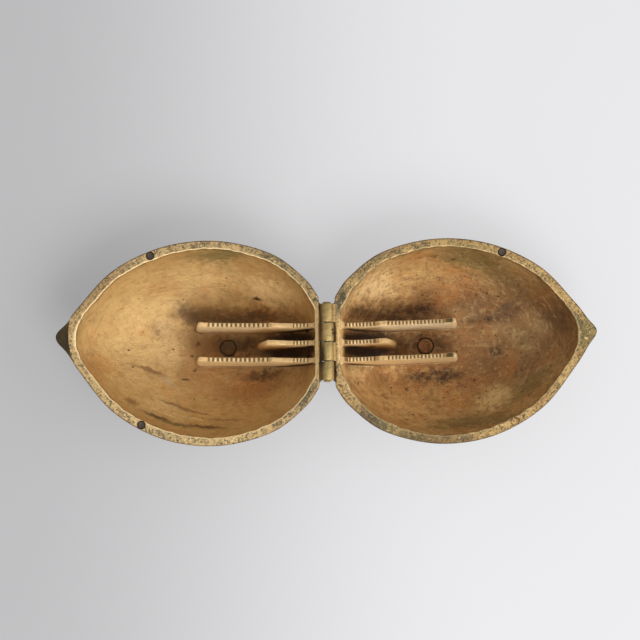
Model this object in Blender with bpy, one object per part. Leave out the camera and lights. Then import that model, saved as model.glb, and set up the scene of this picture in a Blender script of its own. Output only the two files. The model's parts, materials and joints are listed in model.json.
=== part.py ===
"""Brass nutcracker in the form of a large walnut, opened flat.

Two cast half shells turn on a pinned hinge of four knuckles. Three toothed rails stand in each half.
Metres, +Z up. The origin is on the table under the middle of the hinge. +X runs to the tip of the
right half, +Y runs along the hinge to the rear.
"""
import math

import bmesh
import bpy
from mathutils import Vector, noise
from mathutils.bvhtree import BVHTree

RIGHT = 1
LEFT = -1

# Clearance between pieces that touch each other
GAP = 0.0003

# Rim of one half, seen from above
HALF_LENGTH = 0.1572          # hinge axis to tip
HALF_WIDTH = 0.0597           # widest half breadth, outside
BACK_FACE = 0.0046            # hinge axis to the outside of the hinge wall
RIM_WIDTH = 0.0049            # breadth of the flat rim at the widest place
TIP_WALL = 0.0111             # breadth of the rim at the tip
RIGHT_HINGE_WALL = 0.0040     # thickness of the wall behind the hinge, right half
LEFT_HINGE_WALL = 0.0024      # the same, left half, filed thinner
TIP_SWAY = 0.0048             # how far the tips lean to the rear
SWAY_POWER = 4                # how late along the half the lean starts
# Plan of the rim from the hinge wall's corner to the tip: share of the length and of the half breadth,
# first for the outer edge, then for the place on the inner edge that faces it
RIM_PLAN = (
    (0.000, 0.438, 0.000, 0.352), (0.055, 0.630, 0.070, 0.626), (0.185, 0.876, 0.200, 0.868),
    (0.389, 1.000, 0.410, 1.000), (0.598, 0.937, 0.630, 0.924), (0.786, 0.690, 0.820, 0.678),
    (0.916, 0.315, 0.955, 0.298), (0.965, 0.135, 0.992, 0.125), (1.000, 0.000, 1.000, 0.000),
)
OUTER_EDGE = 0                # first column of each edge in that plan
INNER_EDGE = 2

# Bowl of one half
SHELL_DEPTH = 0.0478          # rim to the flat that the half stands on
BASE_CUT = 0.0015             # how much of the round belly the flat takes away
FLOOR_THICKNESS = 0.0042      # wall at the lowest point
OUTER_FULLNESS = 2.2          # 2 is an ellipse, higher is squarer
INNER_FULLNESS = 2.3
SEAM_RIDGE = 0.0014           # how far the seam under the rim stands proud of the wall
SEAM_HEIGHT = 0.0060
RELIEF_HEIGHT = 0.0012        # walnut ridges on the outside
RELIEF_PITCH = 0.017          # breadth of one ridge
LIFT_STEP = 0.0030            # how far the left tip is cut down below the rim
LIFT_START = 0.1502           # hinge axis to the start of that cut

# Plug through the lowest point of each half
PLUG_DISTANCE = 0.0600        # hinge axis to the plug
PLUG_RADIUS = 0.0050
PLUG_RECESS = 0.0003          # how far its outer end lies inside the flat

# Studs set flush in the rims
STUD_RADIUS = 0.0022
STUD_DEPTH = 0.0030
REAR_STUD_DISTANCE = 0.1028   # hinge axis to the stud
FRONT_STUD_DISTANCE = 0.1080

# Hinge
KNUCKLE_COUNT = 4
HINGE_LENGTH = 0.0450
KNUCKLE_GAP = 0.0005
KNUCKLE_RADIUS = 0.0039
NECK_DROP = 0.0034            # lowest edge of a knuckle's neck, below the axis
PIN_RADIUS = 0.0016
PIN_HEAD_RADIUS = 0.0024
PIN_HEAD_HEIGHT = 0.0009

# Toothed rails
RAIL_SPACING = 0.0102         # middle of the half to a long rail
RAIL_TOP_THICKNESS = 0.0026
RAIL_DRAFT = math.radians(1.6)
RAIL_TOP_DEPTH = 0.0050       # rim to the highest parts of a rail's top
RAIL_END = 0.0755             # hinge axis to the free end of a long rail
RAIL_FOOT_REACH = 0.0030      # how far the foot of that end lies beyond its top
WALL_TO_SEAT = 0.0018         # hinge wall to the small seat, which is the inner one
SMALL_SEAT_END = {RIGHT: 0.0305, LEFT: 0.0315}
STEP_BREADTH = {RIGHT: 0.0041, LEFT: 0.0007}    # flat between the small and the large seat
END_BREADTH = {RIGHT: 0.0017, LEFT: 0.0010}     # flat at the free end of a long rail
SMALL_PLAIN_END = {RIGHT: 0.0029, LEFT: 0.0083}   # how much of a seat's outer end has no teeth
LARGE_PLAIN_END = {RIGHT: 0.0062, LEFT: 0.0045}
SMALL_SEAT_SAG = 0.0028       # how far the seats dip
LARGE_SEAT_SAG = 0.0046
SEAT_SKEW = 1.25              # above 1 the outer end of a seat is the steeper one
SEAT_POWER = 3                # higher is flatter in the middle and steeper at both ends
SMALL_TOOTH_PITCH = 0.0020
LARGE_TOOTH_PITCH = {RIGHT: 0.0021, LEFT: 0.0027}
TOOTH_DEPTH = 0.0010
TOOTH_MARGIN = 0.0012         # start of a seat to its first tooth
MIDDLE_RAIL_PLAIN = 0.0048    # flat of the middle rail beyond its seat
MIDDLE_RAIL_SLOPE = 0.0056    # length of its sloped end
RIGHT_RAIL_YAW = math.radians(2.0)
LEFT_RAIL_YAW = math.radians(1.1)

# Fineness of the meshes
SPAN_STEPS = 4                # points to each span of the rim's plan
WALL_STEPS = 6                # points along the hinge wall
OUTER_LEVELS = 13
INNER_LEVELS = 10
ROUND_STEPS = 24
RAIL_RAYS = 14
SLOPE_STEPS = 4               # points on a seat's plain end

# Worked out from the sizes above
RIM_DROP = GAP / 2            # rim to the hinge axis, so that closed rims just clear
INNER_DEPTH = SHELL_DEPTH - FLOOR_THICKNESS
AXIS_HEIGHT = SHELL_DEPTH + RIM_DROP
PLUG_HOLE_RADIUS = PLUG_RADIUS + GAP
POLE = Vector((PLUG_DISTANCE, 0))


def clear_scene():
    for thing in list(bpy.data.objects):
        bpy.data.objects.remove(thing, do_unlink=True)


def make_material(name, colour, roughness, metallic=1.0):
    material = bpy.data.materials.new(name)
    material.use_nodes = True
    shader = material.node_tree.nodes["Principled BSDF"]
    shader.inputs["Base Color"].default_value = (*colour, 1)
    shader.inputs["Roughness"].default_value = roughness
    shader.inputs["Metallic"].default_value = metallic
    return material


def make_hinge_empty(name):
    """An empty on the hinge axis, which carries one half."""
    empty = bpy.data.objects.new(name, None)
    empty.location = (0, 0, AXIS_HEIGHT)
    bpy.context.collection.objects.link(empty)
    return empty


def make_object(name, vertices, faces, side, material, parent, smooth_angle=35):
    """A closed mesh, its points given from the hinge axis and mirrored for the left half."""
    mesh = bpy.data.meshes.new(name)
    placed = [(side * point[0], point[1], point[2]) for point in vertices]
    mesh.from_pydata(placed, [], faces)
    work = bmesh.new()
    work.from_mesh(mesh)
    bmesh.ops.recalc_face_normals(work, faces=work.faces)
    work.to_mesh(mesh)
    work.free()
    mesh.shade_smooth()
    mesh.set_sharp_from_angle(angle=math.radians(smooth_angle))
    mesh.materials.append(material)
    thing = bpy.data.objects.new(name, mesh)
    thing.parent = parent
    bpy.context.collection.objects.link(thing)
    return thing


def loft(loops, closed_ends):
    """Faces between loops of equal length, with a flat face on the first and last if asked."""
    count = len(loops[0])
    vertices = [point for loop in loops for point in loop]
    faces = []
    for row in range(len(loops) - 1):
        for step in range(count):
            here = row * count + step
            beside = row * count + (step + 1) % count
            faces.append((here, beside, beside + count, here + count))
    if closed_ends:
        faces.append(tuple(range(count)))
        last = (len(loops) - 1) * count
        faces.append(tuple(range(last, last + count)))
    return vertices, faces


def ring(loops):
    """Faces between loops of equal length, the last loop joined back to the first."""
    vertices, faces = loft(loops, closed_ends=False)
    count = len(loops[0])
    last = (len(loops) - 1) * count
    for step in range(count):
        beside = (step + 1) % count
        faces.append((last + step, last + beside, beside, step))
    return vertices, faces


def smooth_curve(points, steps):
    """Points on a Catmull-Rom curve through the given ones."""
    guides = [2 * points[0] - points[1]] + points + [2 * points[-1] - points[-2]]
    curve = []
    for before, start, end, after in zip(guides, guides[1:], guides[2:], guides[3:]):
        for step in range(steps):
            t = step / steps
            linear = (end - before) * t
            square = (2 * before - 5 * start + 4 * end - after) * t ** 2
            cube = (3 * start - before - 3 * end + after) * t ** 3
            curve.append((2 * start + linear + square + cube) / 2)
    curve.append(points[-1])
    return curve


def rim_loop(edge, back, tip, half_width):
    """A rim edge from above: from the rear corner round the tip, then along the hinge wall."""
    rear = [Vector((back + (tip - back) * row[edge], half_width * row[edge + 1])) for row in RIM_PLAN]
    front = [Vector((point.x, -point.y)) for point in reversed(rear[:-1])]
    loop = smooth_curve(rear + front, SPAN_STEPS)
    corner = loop[-1].copy()
    for step in range(1, WALL_STEPS):
        loop.append(corner.lerp(loop[0], step / WALL_STEPS))
    for point in loop:
        share = (point.x - BACK_FACE) / (HALF_LENGTH - BACK_FACE)
        point.y += TIP_SWAY * share ** SWAY_POWER
    return loop


def outer_rim():
    return rim_loop(OUTER_EDGE, BACK_FACE, HALF_LENGTH, HALF_WIDTH)


def inner_rim(side):
    wall = RIGHT_HINGE_WALL if side == RIGHT else LEFT_HINGE_WALL
    return rim_loop(INNER_EDGE, BACK_FACE + wall, HALF_LENGTH - TIP_WALL, HALF_WIDTH - RIM_WIDTH)


def relaxed(loop):
    """The loop with its corners rounded a little."""
    count = len(loop)
    return [(loop[i - 1] + 2 * loop[i] + loop[(i + 1) % count]) / 4 for i in range(count)]


def level_depths(first_depth, last_depth, full_depth, fullness, count):
    """Depths of a bowl's loops, even round its curve."""
    first = math.asin((first_depth / full_depth) ** (fullness / 2))
    last = math.asin((last_depth / full_depth) ** (fullness / 2))
    angles = [first + (last - first) * step / count for step in range(count + 1)]
    return [full_depth * math.sin(angle) ** (2 / fullness) for angle in angles]


def bowl_point(rim_point, depth, full_depth, fullness, ridge):
    """A bowl's surface under one point of its rim; it ends on the round hole in the floor."""
    spread = (1 - min(1, (depth / full_depth) ** fullness)) ** (1 / fullness)
    out = rim_point - POLE
    radius = PLUG_HOLE_RADIUS + (out.length - ridge - PLUG_HOLE_RADIUS) * spread
    place = POLE + out.normalized() * radius
    return Vector((place.x, place.y, -RIM_DROP - depth))


def walnut_relief(point, depth):
    """The point pushed out or in by the shell's wandering ridges, flat at the seam and the foot."""
    share = (depth - SEAM_HEIGHT) / (SHELL_DEPTH - SEAM_HEIGHT)
    if share <= 0 or share >= 1:
        return point
    fade = math.sin(math.pi * share) ** 0.5
    away = Vector((point.x - POLE.x, point.y, point.z)).normalized()
    wander = noise.noise(point / (2 * RELIEF_PITCH)) * 1.5
    stripe = math.sin(2 * math.pi * (point.y / RELIEF_PITCH + wander))
    return point + away * RELIEF_HEIGHT * fade * stripe


def outside_loops():
    """Loops of the outside, from the rim over the seam and the belly to the flat and its hole."""
    full_depth = SHELL_DEPTH + BASE_CUT
    belly = level_depths(SEAM_HEIGHT, SHELL_DEPTH, full_depth, OUTER_FULLNESS, OUTER_LEVELS)
    rim = outer_rim()
    loops = []
    for depth in [0, SEAM_HEIGHT / 2] + belly:
        ridge = SEAM_RIDGE * max(0, min(1, 2 * depth / SEAM_HEIGHT - 1))
        loop = [bowl_point(point, depth, full_depth, OUTER_FULLNESS, ridge) for point in rim]
        loops.append([walnut_relief(point, depth) for point in loop])
        if depth >= SEAM_HEIGHT:
            rim = relaxed(rim)
    loops.append([bowl_point(point, full_depth, full_depth, OUTER_FULLNESS, 0) for point in rim])
    for point in loops[-1]:
        point.z = -RIM_DROP - SHELL_DEPTH
    return loops


def inside_loops(side):
    """Loops of the inside, from the rim down to the hole in the floor."""
    rim = inner_rim(side)
    loops = []
    for depth in level_depths(0, INNER_DEPTH, INNER_DEPTH, INNER_FULLNESS, INNER_LEVELS):
        loops.append([bowl_point(point, depth, INNER_DEPTH, INNER_FULLNESS, 0) for point in rim])
        rim = relaxed(rim)
    return loops


def shell_surface(side):
    """Points and faces of one half shell: outside, floor hole, inside and rim in one skin."""
    return ring(outside_loops() + inside_loops(side)[::-1])


def turned(profile, centre, along):
    """A solid turned from (radius, position) pairs about a line through centre."""
    across = Vector((1, 0, 0))
    beside = along.cross(across)
    loops = []
    for radius, position in profile:
        loop = []
        for step in range(ROUND_STEPS):
            angle = 2 * math.pi * step / ROUND_STEPS
            spoke = across * math.cos(angle) + beside * math.sin(angle)
            loop.append(centre + along * position + spoke * radius)
        loops.append(loop)
    return loft(loops, closed_ends=True)


def rim_middle(side, distance, rear):
    """The middle of the flat rim at a distance from the hinge axis."""
    middles = [(a + b) / 2 for a, b in zip(outer_rim(), inner_rim(side))]
    wanted = [point for point in middles if (point.y > 0) == rear]
    wanted.sort(key=lambda point: abs(point.x - distance))
    near = wanted[0]
    far = next(point for point in wanted if (point.x - distance) * (near.x - distance) <= 0)
    if near.x == far.x:
        return near
    return near.lerp(far, (distance - near.x) / (far.x - near.x))


def add_cut(target, cutter):
    """The cutter taken out of the target, and hidden."""
    cut = target.modifiers.new(cutter.name, "BOOLEAN")
    cut.operation = "DIFFERENCE"
    cut.solver = "EXACT"
    cut.object = cutter
    cutter.hide_render = True
    cutter.display_type = "WIRE"


def add_lift_cut(shell, material, parent):
    """The step that leaves the left tip lower than the rim, so that a thumb can lift it."""
    low = -RIM_DROP - LIFT_STEP
    high = LIFT_STEP
    near = LIFT_START
    far = HALF_LENGTH + LIFT_STEP
    breadth = HALF_WIDTH / 2
    floor = [(near, -breadth, low), (far, -breadth, low), (far, breadth, low), (near, breadth, low)]
    roof = [(x, y, high) for x, y, _ in floor]
    vertices, faces = loft([floor, roof], closed_ends=True)
    add_cut(shell, make_object("lift_cut", vertices, faces, LEFT, material, parent))


def add_studs(side, half, shell, material, parent):
    """Two studs flush in the rim, and the blind holes that hold them."""
    for place, distance in (("rear", REAR_STUD_DISTANCE), ("front", FRONT_STUD_DISTANCE)):
        spot = rim_middle(side, distance, place == "rear")
        top = Vector((spot.x, spot.y, -RIM_DROP))
        up = Vector((0, 0, 1))
        hole_radius = STUD_RADIUS + GAP
        hole = [(hole_radius, -STUD_DEPTH - GAP), (hole_radius, STUD_DEPTH)]
        vertices, faces = turned(hole, top, up)
        name = half + "_" + place + "_rim_stud"
        add_cut(shell, make_object(name + "_hole", vertices, faces, side, material, parent))
        vertices, faces = turned([(STUD_RADIUS, -STUD_DEPTH), (STUD_RADIUS, 0)], top, up)
        make_object(name, vertices, faces, side, material, parent)


def add_floor_plug(side, half, material, parent):
    """The plug through the floor, flush with it inside and just short of the flat outside."""
    profile = [
        (PLUG_RADIUS, PLUG_RECESS - AXIS_HEIGHT),
        (PLUG_RADIUS, -RIM_DROP - INNER_DEPTH),
    ]
    vertices, faces = turned(profile, POLE.to_3d(), Vector((0, 0, 1)))
    make_object(half + "_floor_plug", vertices, faces, side, material, parent)


def add_knuckle(number, material, parent):
    """One hinge barrel with its bore, and the short neck that joins it to its own half."""
    side = RIGHT if number % 2 else LEFT
    pitch = HINGE_LENGTH / KNUCKLE_COUNT
    rear = HINGE_LENGTH / 2 - pitch * (number - 1) - KNUCKLE_GAP / 2
    front = rear - pitch + KNUCKLE_GAP
    neck_angle = math.asin(NECK_DROP / KNUCKLE_RADIUS)
    sweep = 2 * math.pi - neck_angle
    outline = []
    for step in range(ROUND_STEPS + 1):
        angle = sweep * step / ROUND_STEPS
        outline.append(Vector((KNUCKLE_RADIUS * math.cos(angle), 0, KNUCKLE_RADIUS * math.sin(angle))))
    outline.append(Vector((BACK_FACE - GAP, 0, -NECK_DROP)))
    outline.append(Vector((BACK_FACE - GAP, 0, -RIM_DROP - GAP)))
    bore = [point.normalized() * (PIN_RADIUS + GAP) for point in outline]
    loops = []
    for shape, y in ((outline, rear), (outline, front), (bore, front), (bore, rear)):
        loops.append([point + Vector((0, y, 0)) for point in shape])
    vertices, faces = ring(loops)
    make_object("hinge_knuckle_" + str(number), vertices, faces, side, material, parent)


def add_pin(material, parent):
    """The pin through all the knuckles, its two ends hammered to low heads."""
    seat = HINGE_LENGTH / 2 - KNUCKLE_GAP / 2 + GAP
    head = [
        (PIN_HEAD_RADIUS / 2, seat + PIN_HEAD_HEIGHT),
        (PIN_HEAD_RADIUS, seat + PIN_HEAD_HEIGHT / 2),
        (PIN_HEAD_RADIUS, seat),
        (PIN_RADIUS, seat),
    ]
    profile = head + [(radius, -position) for radius, position in reversed(head)]
    vertices, faces = turned(profile, Vector((0, 0, 0)), Vector((0, 1, 0)))
    make_object("hinge_pin", vertices, faces, RIGHT, material, parent)


def toothed_seat(start, end, plain_end, sag, pitch):
    """The dipped stretch of a rail's top, toothed but for its outer end, as (distance, depth) pairs."""
    first = start + TOOTH_MARGIN
    count = max(1, int((end - plain_end - first) / pitch))
    places = []
    for tooth in range(count):
        for share, cut in ((0.10, 1), (0.30, 0), (0.70, 0), (0.90, 1)):
            places.append((first + (tooth + share) * pitch, cut))
    last = first + count * pitch
    for step in range(1, SLOPE_STEPS):
        places.append((last + (end - last) * step / SLOPE_STEPS, 0))
    line = [(start, RAIL_TOP_DEPTH)]
    for distance, cut in places:
        share = (distance - start) / (end - start)
        dip = sag * (1 - abs(2 * share ** SEAT_SKEW - 1) ** SEAT_POWER)
        line.append((distance, RAIL_TOP_DEPTH + dip + TOOTH_DEPTH * cut))
    line.append((end, RAIL_TOP_DEPTH))
    return line


def inner_rail_top(side, wall):
    """The top of any rail from the hinge wall to the end of its small seat."""
    seat = toothed_seat(wall + WALL_TO_SEAT, SMALL_SEAT_END[side], SMALL_PLAIN_END[side],
                        SMALL_SEAT_SAG, SMALL_TOOTH_PITCH)
    return [(wall, RAIL_TOP_DEPTH)] + seat


def long_rail_top(side, wall):
    line = inner_rail_top(side, wall)
    line += toothed_seat(SMALL_SEAT_END[side] + STEP_BREADTH[side], RAIL_END - END_BREADTH[side],
                         LARGE_PLAIN_END[side], LARGE_SEAT_SAG, LARGE_TOOTH_PITCH[side])
    line.append((RAIL_END, RAIL_TOP_DEPTH))
    return line


def middle_rail_top(side, wall):
    line = inner_rail_top(side, wall)
    line.append((SMALL_SEAT_END[side] + MIDDLE_RAIL_PLAIN, RAIL_TOP_DEPTH))
    return line


def add_rail(name, side, tree, top_line, foot_reach, root_y, yaw, material, parent):
    """A thin toothed blade, thicker downwards, whose lower edge follows the bowl.

    tree is the bowl's surface, top_line gives distance and depth for the upper edge from the hinge
    wall out, foot_reach is how far the foot of the free end lies beyond its top.
    """
    wall, top_depth = top_line[0]
    foot = top_line[-1][0] + foot_reach
    along = Vector((math.cos(yaw), math.sin(yaw), 0))
    across = Vector((-math.sin(yaw), math.cos(yaw), 0))
    root = Vector((wall, root_y, 0))

    def half_thickness(depth):
        return RAIL_TOP_THICKNESS / 2 + (depth - top_depth) * math.tan(RAIL_DRAFT)

    def place(distance, depth, offset):
        start = root + along * (distance - wall) / math.cos(yaw)
        return start + across * offset + Vector((0, 0, -RIM_DROP - depth))

    def reach(distance, depth, heading):
        """Distance and depth where a ray, held back by the gap, meets the bowl."""
        offset = half_thickness(INNER_DEPTH)
        lengths = []
        for sign in (-1, 1):
            hit = tree.ray_cast(place(distance, depth, sign * offset), heading)
            lengths.append(hit[3])
        travel = min(lengths) - 1.5 * GAP
        return distance + heading.dot(along) * travel, depth - heading.z * travel

    focus_distance = (wall + foot) / 2
    focus_depth = top_depth + LARGE_SEAT_SAG + TOOTH_DEPTH
    top_end = reach(focus_distance, top_depth, -along)
    low_end = reach(foot, focus_depth, Vector((0, 0, -1)))
    first = math.atan2(focus_depth - top_depth, -(focus_distance - top_end[0]))
    last = math.atan2(focus_depth - low_end[1], low_end[0] - focus_distance)
    lower = [top_end]
    for step in range(1, RAIL_RAYS):
        angle = first + (last + 2 * math.pi - first) * step / RAIL_RAYS
        heading = along * math.cos(angle) + Vector((0, 0, math.sin(angle)))
        lower.append(reach(focus_distance, focus_depth, heading))
    lower.append(low_end)
    outline = lower + list(reversed(top_line[1:]))
    sides = []
    for sign in (-1, 1):
        sides.append([place(distance, depth, sign * half_thickness(depth)) for distance, depth in outline])
    vertices, faces = loft(sides, closed_ends=True)
    make_object(name, vertices, faces, side, material, parent, smooth_angle=25)


def add_rails(side, half, tree, material, parent):
    """The two long rails and the short one between them."""
    wall = BACK_FACE + (RIGHT_HINGE_WALL if side == RIGHT else LEFT_HINGE_WALL)
    yaw = RIGHT_RAIL_YAW if side == RIGHT else LEFT_RAIL_YAW
    for place, root_y in (("rear", RAIL_SPACING), ("front", -RAIL_SPACING)):
        name = half + "_" + place + "_rail"
        add_rail(name, side, tree, long_rail_top(side, wall), RAIL_FOOT_REACH, root_y, yaw, material, parent)
    middle_top = middle_rail_top(side, wall)
    add_rail(half + "_middle_rail", side, tree, middle_top, MIDDLE_RAIL_SLOPE, 0, yaw, material, parent)


def build_half(side, half, materials):
    """One half shell with its rails, floor plug and rim studs."""
    parent = make_hinge_empty(half + "_half_on_axis")
    vertices, faces = shell_surface(side)
    tree = BVHTree.FromPolygons(vertices, faces)
    shell = make_object(half + "_shell", vertices, faces, side, materials["bowl"], parent, 60)
    if side == LEFT:
        add_lift_cut(shell, materials["bowl"], parent)
    add_studs(side, half, shell, materials["stud"], parent)
    add_rails(side, half, tree, materials["rail"], parent)
    add_floor_plug(side, half, materials["plug"], parent)
    return parent


def main():
    clear_scene()
    materials = {
        "bowl": make_material("aged cast brass", (0.42, 0.25, 0.09), 0.55),
        "rail": make_material("worn cast brass", (0.55, 0.36, 0.17), 0.45),
        "hinge": make_material("smooth olive brass", (0.42, 0.31, 0.12), 0.35),
        "plug": make_material("dull brass plug", (0.36, 0.21, 0.08), 0.55),
        "stud": make_material("dark steel stud", (0.07, 0.07, 0.06), 0.50),
    }
    halves = {
        RIGHT: build_half(RIGHT, "right", materials),
        LEFT: build_half(LEFT, "left", materials),
    }
    for number in range(1, KNUCKLE_COUNT + 1):
        side = RIGHT if number % 2 else LEFT
        add_knuckle(number, materials["hinge"], halves[side])
    add_pin(materials["hinge"], halves[RIGHT])


main()
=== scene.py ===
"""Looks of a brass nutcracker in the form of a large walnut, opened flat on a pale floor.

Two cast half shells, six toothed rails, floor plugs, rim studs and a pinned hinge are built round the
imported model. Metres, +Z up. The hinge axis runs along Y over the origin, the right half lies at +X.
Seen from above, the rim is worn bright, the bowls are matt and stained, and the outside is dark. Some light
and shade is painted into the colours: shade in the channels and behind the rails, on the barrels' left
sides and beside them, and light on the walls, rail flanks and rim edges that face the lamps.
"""

import json
import math
from itertools import chain
from types import SimpleNamespace
from typing import NamedTuple

import bmesh
import bpy
import numpy as np
from bpy.props import FloatProperty, FloatVectorProperty, PointerProperty
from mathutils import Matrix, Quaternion, Vector, noise
from mathutils.bvhtree import BVHTree

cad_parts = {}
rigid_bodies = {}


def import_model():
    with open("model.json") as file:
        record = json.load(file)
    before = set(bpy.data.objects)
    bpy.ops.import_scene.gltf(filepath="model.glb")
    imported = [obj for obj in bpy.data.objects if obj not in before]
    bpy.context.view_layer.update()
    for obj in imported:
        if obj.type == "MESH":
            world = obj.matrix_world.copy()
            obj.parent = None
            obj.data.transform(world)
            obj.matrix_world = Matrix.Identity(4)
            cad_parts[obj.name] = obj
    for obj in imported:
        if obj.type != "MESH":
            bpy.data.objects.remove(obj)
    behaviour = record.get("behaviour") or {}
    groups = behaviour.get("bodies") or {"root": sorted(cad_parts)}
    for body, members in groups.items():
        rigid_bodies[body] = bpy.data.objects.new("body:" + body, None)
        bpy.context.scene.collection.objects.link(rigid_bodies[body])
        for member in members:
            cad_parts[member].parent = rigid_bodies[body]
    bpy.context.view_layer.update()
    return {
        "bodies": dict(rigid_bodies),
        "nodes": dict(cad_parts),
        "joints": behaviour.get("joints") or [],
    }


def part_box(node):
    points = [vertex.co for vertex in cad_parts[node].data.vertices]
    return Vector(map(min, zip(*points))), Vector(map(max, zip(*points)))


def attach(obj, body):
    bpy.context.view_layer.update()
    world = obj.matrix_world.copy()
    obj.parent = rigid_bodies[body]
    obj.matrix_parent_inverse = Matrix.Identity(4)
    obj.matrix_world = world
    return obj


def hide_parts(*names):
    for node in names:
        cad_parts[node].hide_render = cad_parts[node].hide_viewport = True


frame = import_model()

bl_info = {
    "name": "Walnut nutcracker",
    "version": (1, 0, 0),
    "blender": (4, 5, 0),
    "location": "3D View > Sidebar > Nutcracker",
    "description": "Builds the dressed model of a cast brass nutcracker in the form of a walnut",
    "category": "Object",
}

# Places read from the frame
HINGE_AXIS = Vector(frame["joints"][0]["pos_m"])
SHELL_LOW, SHELL_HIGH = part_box("right_shell")
PLUG_LOW, PLUG_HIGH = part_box("right_floor_plug")
KNUCKLE_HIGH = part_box("hinge_knuckle_1")[1]
PIN_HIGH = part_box("hinge_pin")[1]
RIM_HEIGHT = SHELL_HIGH.z

# Middle of the floor plug seen from above, towards which a shell's rows draw in
POLE = np.array((((PLUG_LOW + PLUG_HIGH) / 2).x, 0.0))

SIDES = {"right": 1, "left": -1}
SOFT = {"interpolation_type": "SMOOTHSTEP"}  # a fade with soft ends

# Plan of the rim from the hinge wall's corner to the tip: share of the length and of the half breadth,
# first for the outer edge, then for the place on the inner edge that faces it
RIM_PLAN = (
    (0.000, 0.438, 0.000, 0.352), (0.055, 0.630, 0.070, 0.626), (0.185, 0.876, 0.200, 0.868),
    (0.389, 1.000, 0.410, 1.000), (0.598, 0.937, 0.630, 0.924), (0.786, 0.690, 0.820, 0.678),
    (0.916, 0.315, 0.955, 0.298), (0.965, 0.135, 0.992, 0.125), (1.000, 0.000, 1.000, 0.000),
)
OUTER_EDGE = 0  # first column of each edge in that plan
INNER_EDGE = 2


def hex_colour(code):
    """An sRGB hex colour as the linear red, green and blue that Blender works in."""
    channels = [int(code[start:start + 2], 16) / 255 for start in (1, 3, 5)]
    return tuple(c / 12.92 if c <= 0.04045 else ((c + 0.055) / 1.055) ** 2.4 for c in channels)


def length(name, description, default):
    """A size in metres that a user may change."""
    return FloatProperty(name=name, description=description, default=default, subtype="DISTANCE")


def colour(name, description, code):
    """A colour that a user may change."""
    return FloatVectorProperty(name=name, description=description, default=hex_colour(code),
                               subtype="COLOR", size=3, min=0, max=1)


class ShellSizes(bpy.types.PropertyGroup):
    """Sizes of the two half shells."""
    half_length: length("Half length", "Hinge axis to tip", SHELL_HIGH.x)
    half_width: length("Half width", "Widest half breadth", (SHELL_HIGH.y - SHELL_LOW.y) / 2)
    back_face: length("Back face", "Hinge axis to the outside of the hinge wall", SHELL_LOW.x)
    rim_width: length("Rim width", "Breadth of the flat rim at the widest place", 0.0049)
    tip_wall: length("Tip wall", "Breadth of the rim at the tip", 0.0111)
    right_hinge_wall: length("Right hinge wall", "Thickness of the right wall at the hinge", 0.0040)
    left_hinge_wall: length("Left hinge wall", "Thickness of the left wall at the hinge", 0.0024)
    tip_sway: length("Tip sway", "How far the tips lean to the rear", 0.0048)
    floor_thickness: length("Floor thickness", "Wall at the lowest point", 0.0042)
    base_cut: length("Base cut", "How much of the round belly the flat takes away", 0.0015)
    seam_ridge: length("Seam ridge", "How far the seam stands proud of the wall", 0.0014)
    seam_height: length("Seam height", "Height of the plain band under the rim", 0.0060)
    ridge_height: length("Ridge height", "Height of the broad walnut ridges", 0.0012)
    ridge_pitch: length("Ridge pitch", "Breadth of one broad ridge", 0.017)
    groove_depth: length("Groove depth", "Depth of the walnut's fine grooves", 0.0011)
    groove_spacing: length("Groove spacing", "Breadth of the cells between the grooves", 0.0085)
    bowl_unevenness: length("Bowl unevenness", "Hand finished waviness of the bowl", 0.0005)
    lift_step: length("Lift step", "How far the left tip is cut down below the rim", 0.0030)
    lift_start: length("Lift start", "Hinge axis to the start of that cut", 0.1505)


class RailSizes(bpy.types.PropertyGroup):
    """Sizes of the toothed rails."""
    spacing: length("Spacing", "Middle of a half to a long rail", 0.0102)
    top_thickness: length("Top thickness", "Thickness of a rail at its top", 0.0026)
    top_depth: length("Top depth", "Rim to the highest parts of a rail", 0.0050)
    long_end: length("Long end", "Hinge axis to the free end of a long rail", 0.0755)
    small_sag: length("Small sag", "How far the small seat dips", 0.0028)
    large_sag: length("Large sag", "How far the large seat dips", 0.0046)
    small_pitch: length("Small tooth pitch", "Tooth spacing near the hinge", 0.0021)
    right_large_pitch: length("Right large tooth pitch", "Its spacing on the right outer seats", 0.0022)
    left_large_pitch: length("Left large tooth pitch", "Its spacing on the left outer seats", 0.0027)
    tooth_height: length("Tooth height", "Height of a tooth", 0.0010)
    middle_top_end: length("Middle top end", "Hinge axis to the end of the middle rail's top", 0.0356)
    middle_foot: length("Middle foot", "Hinge axis to the foot of its sloped end", 0.0412)
    long_foot: length("Long foot", "How far a long rail's foot reaches beyond its top", 0.0030)
    foot_radius: length("Foot radius", "Fillet between a rail and the bowl", 0.0005)


class HingeSizes(bpy.types.PropertyGroup):
    """Sizes of the hinge."""
    knuckle_radius: length("Knuckle radius", "Outside of a hinge barrel", KNUCKLE_HIGH.z - HINGE_AXIS.z)
    pin_radius: length("Pin radius", "Pin in the barrels", 0.0016)
    bore_gap: length("Bore gap", "Clearance round the pin", 0.0003)
    edge: length("Edge", "Rounding of the barrels' ends", 0.0005)
    neck_drop: length("Neck drop", "Lowest edge of a barrel's neck below the axis", 0.0034)


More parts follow.
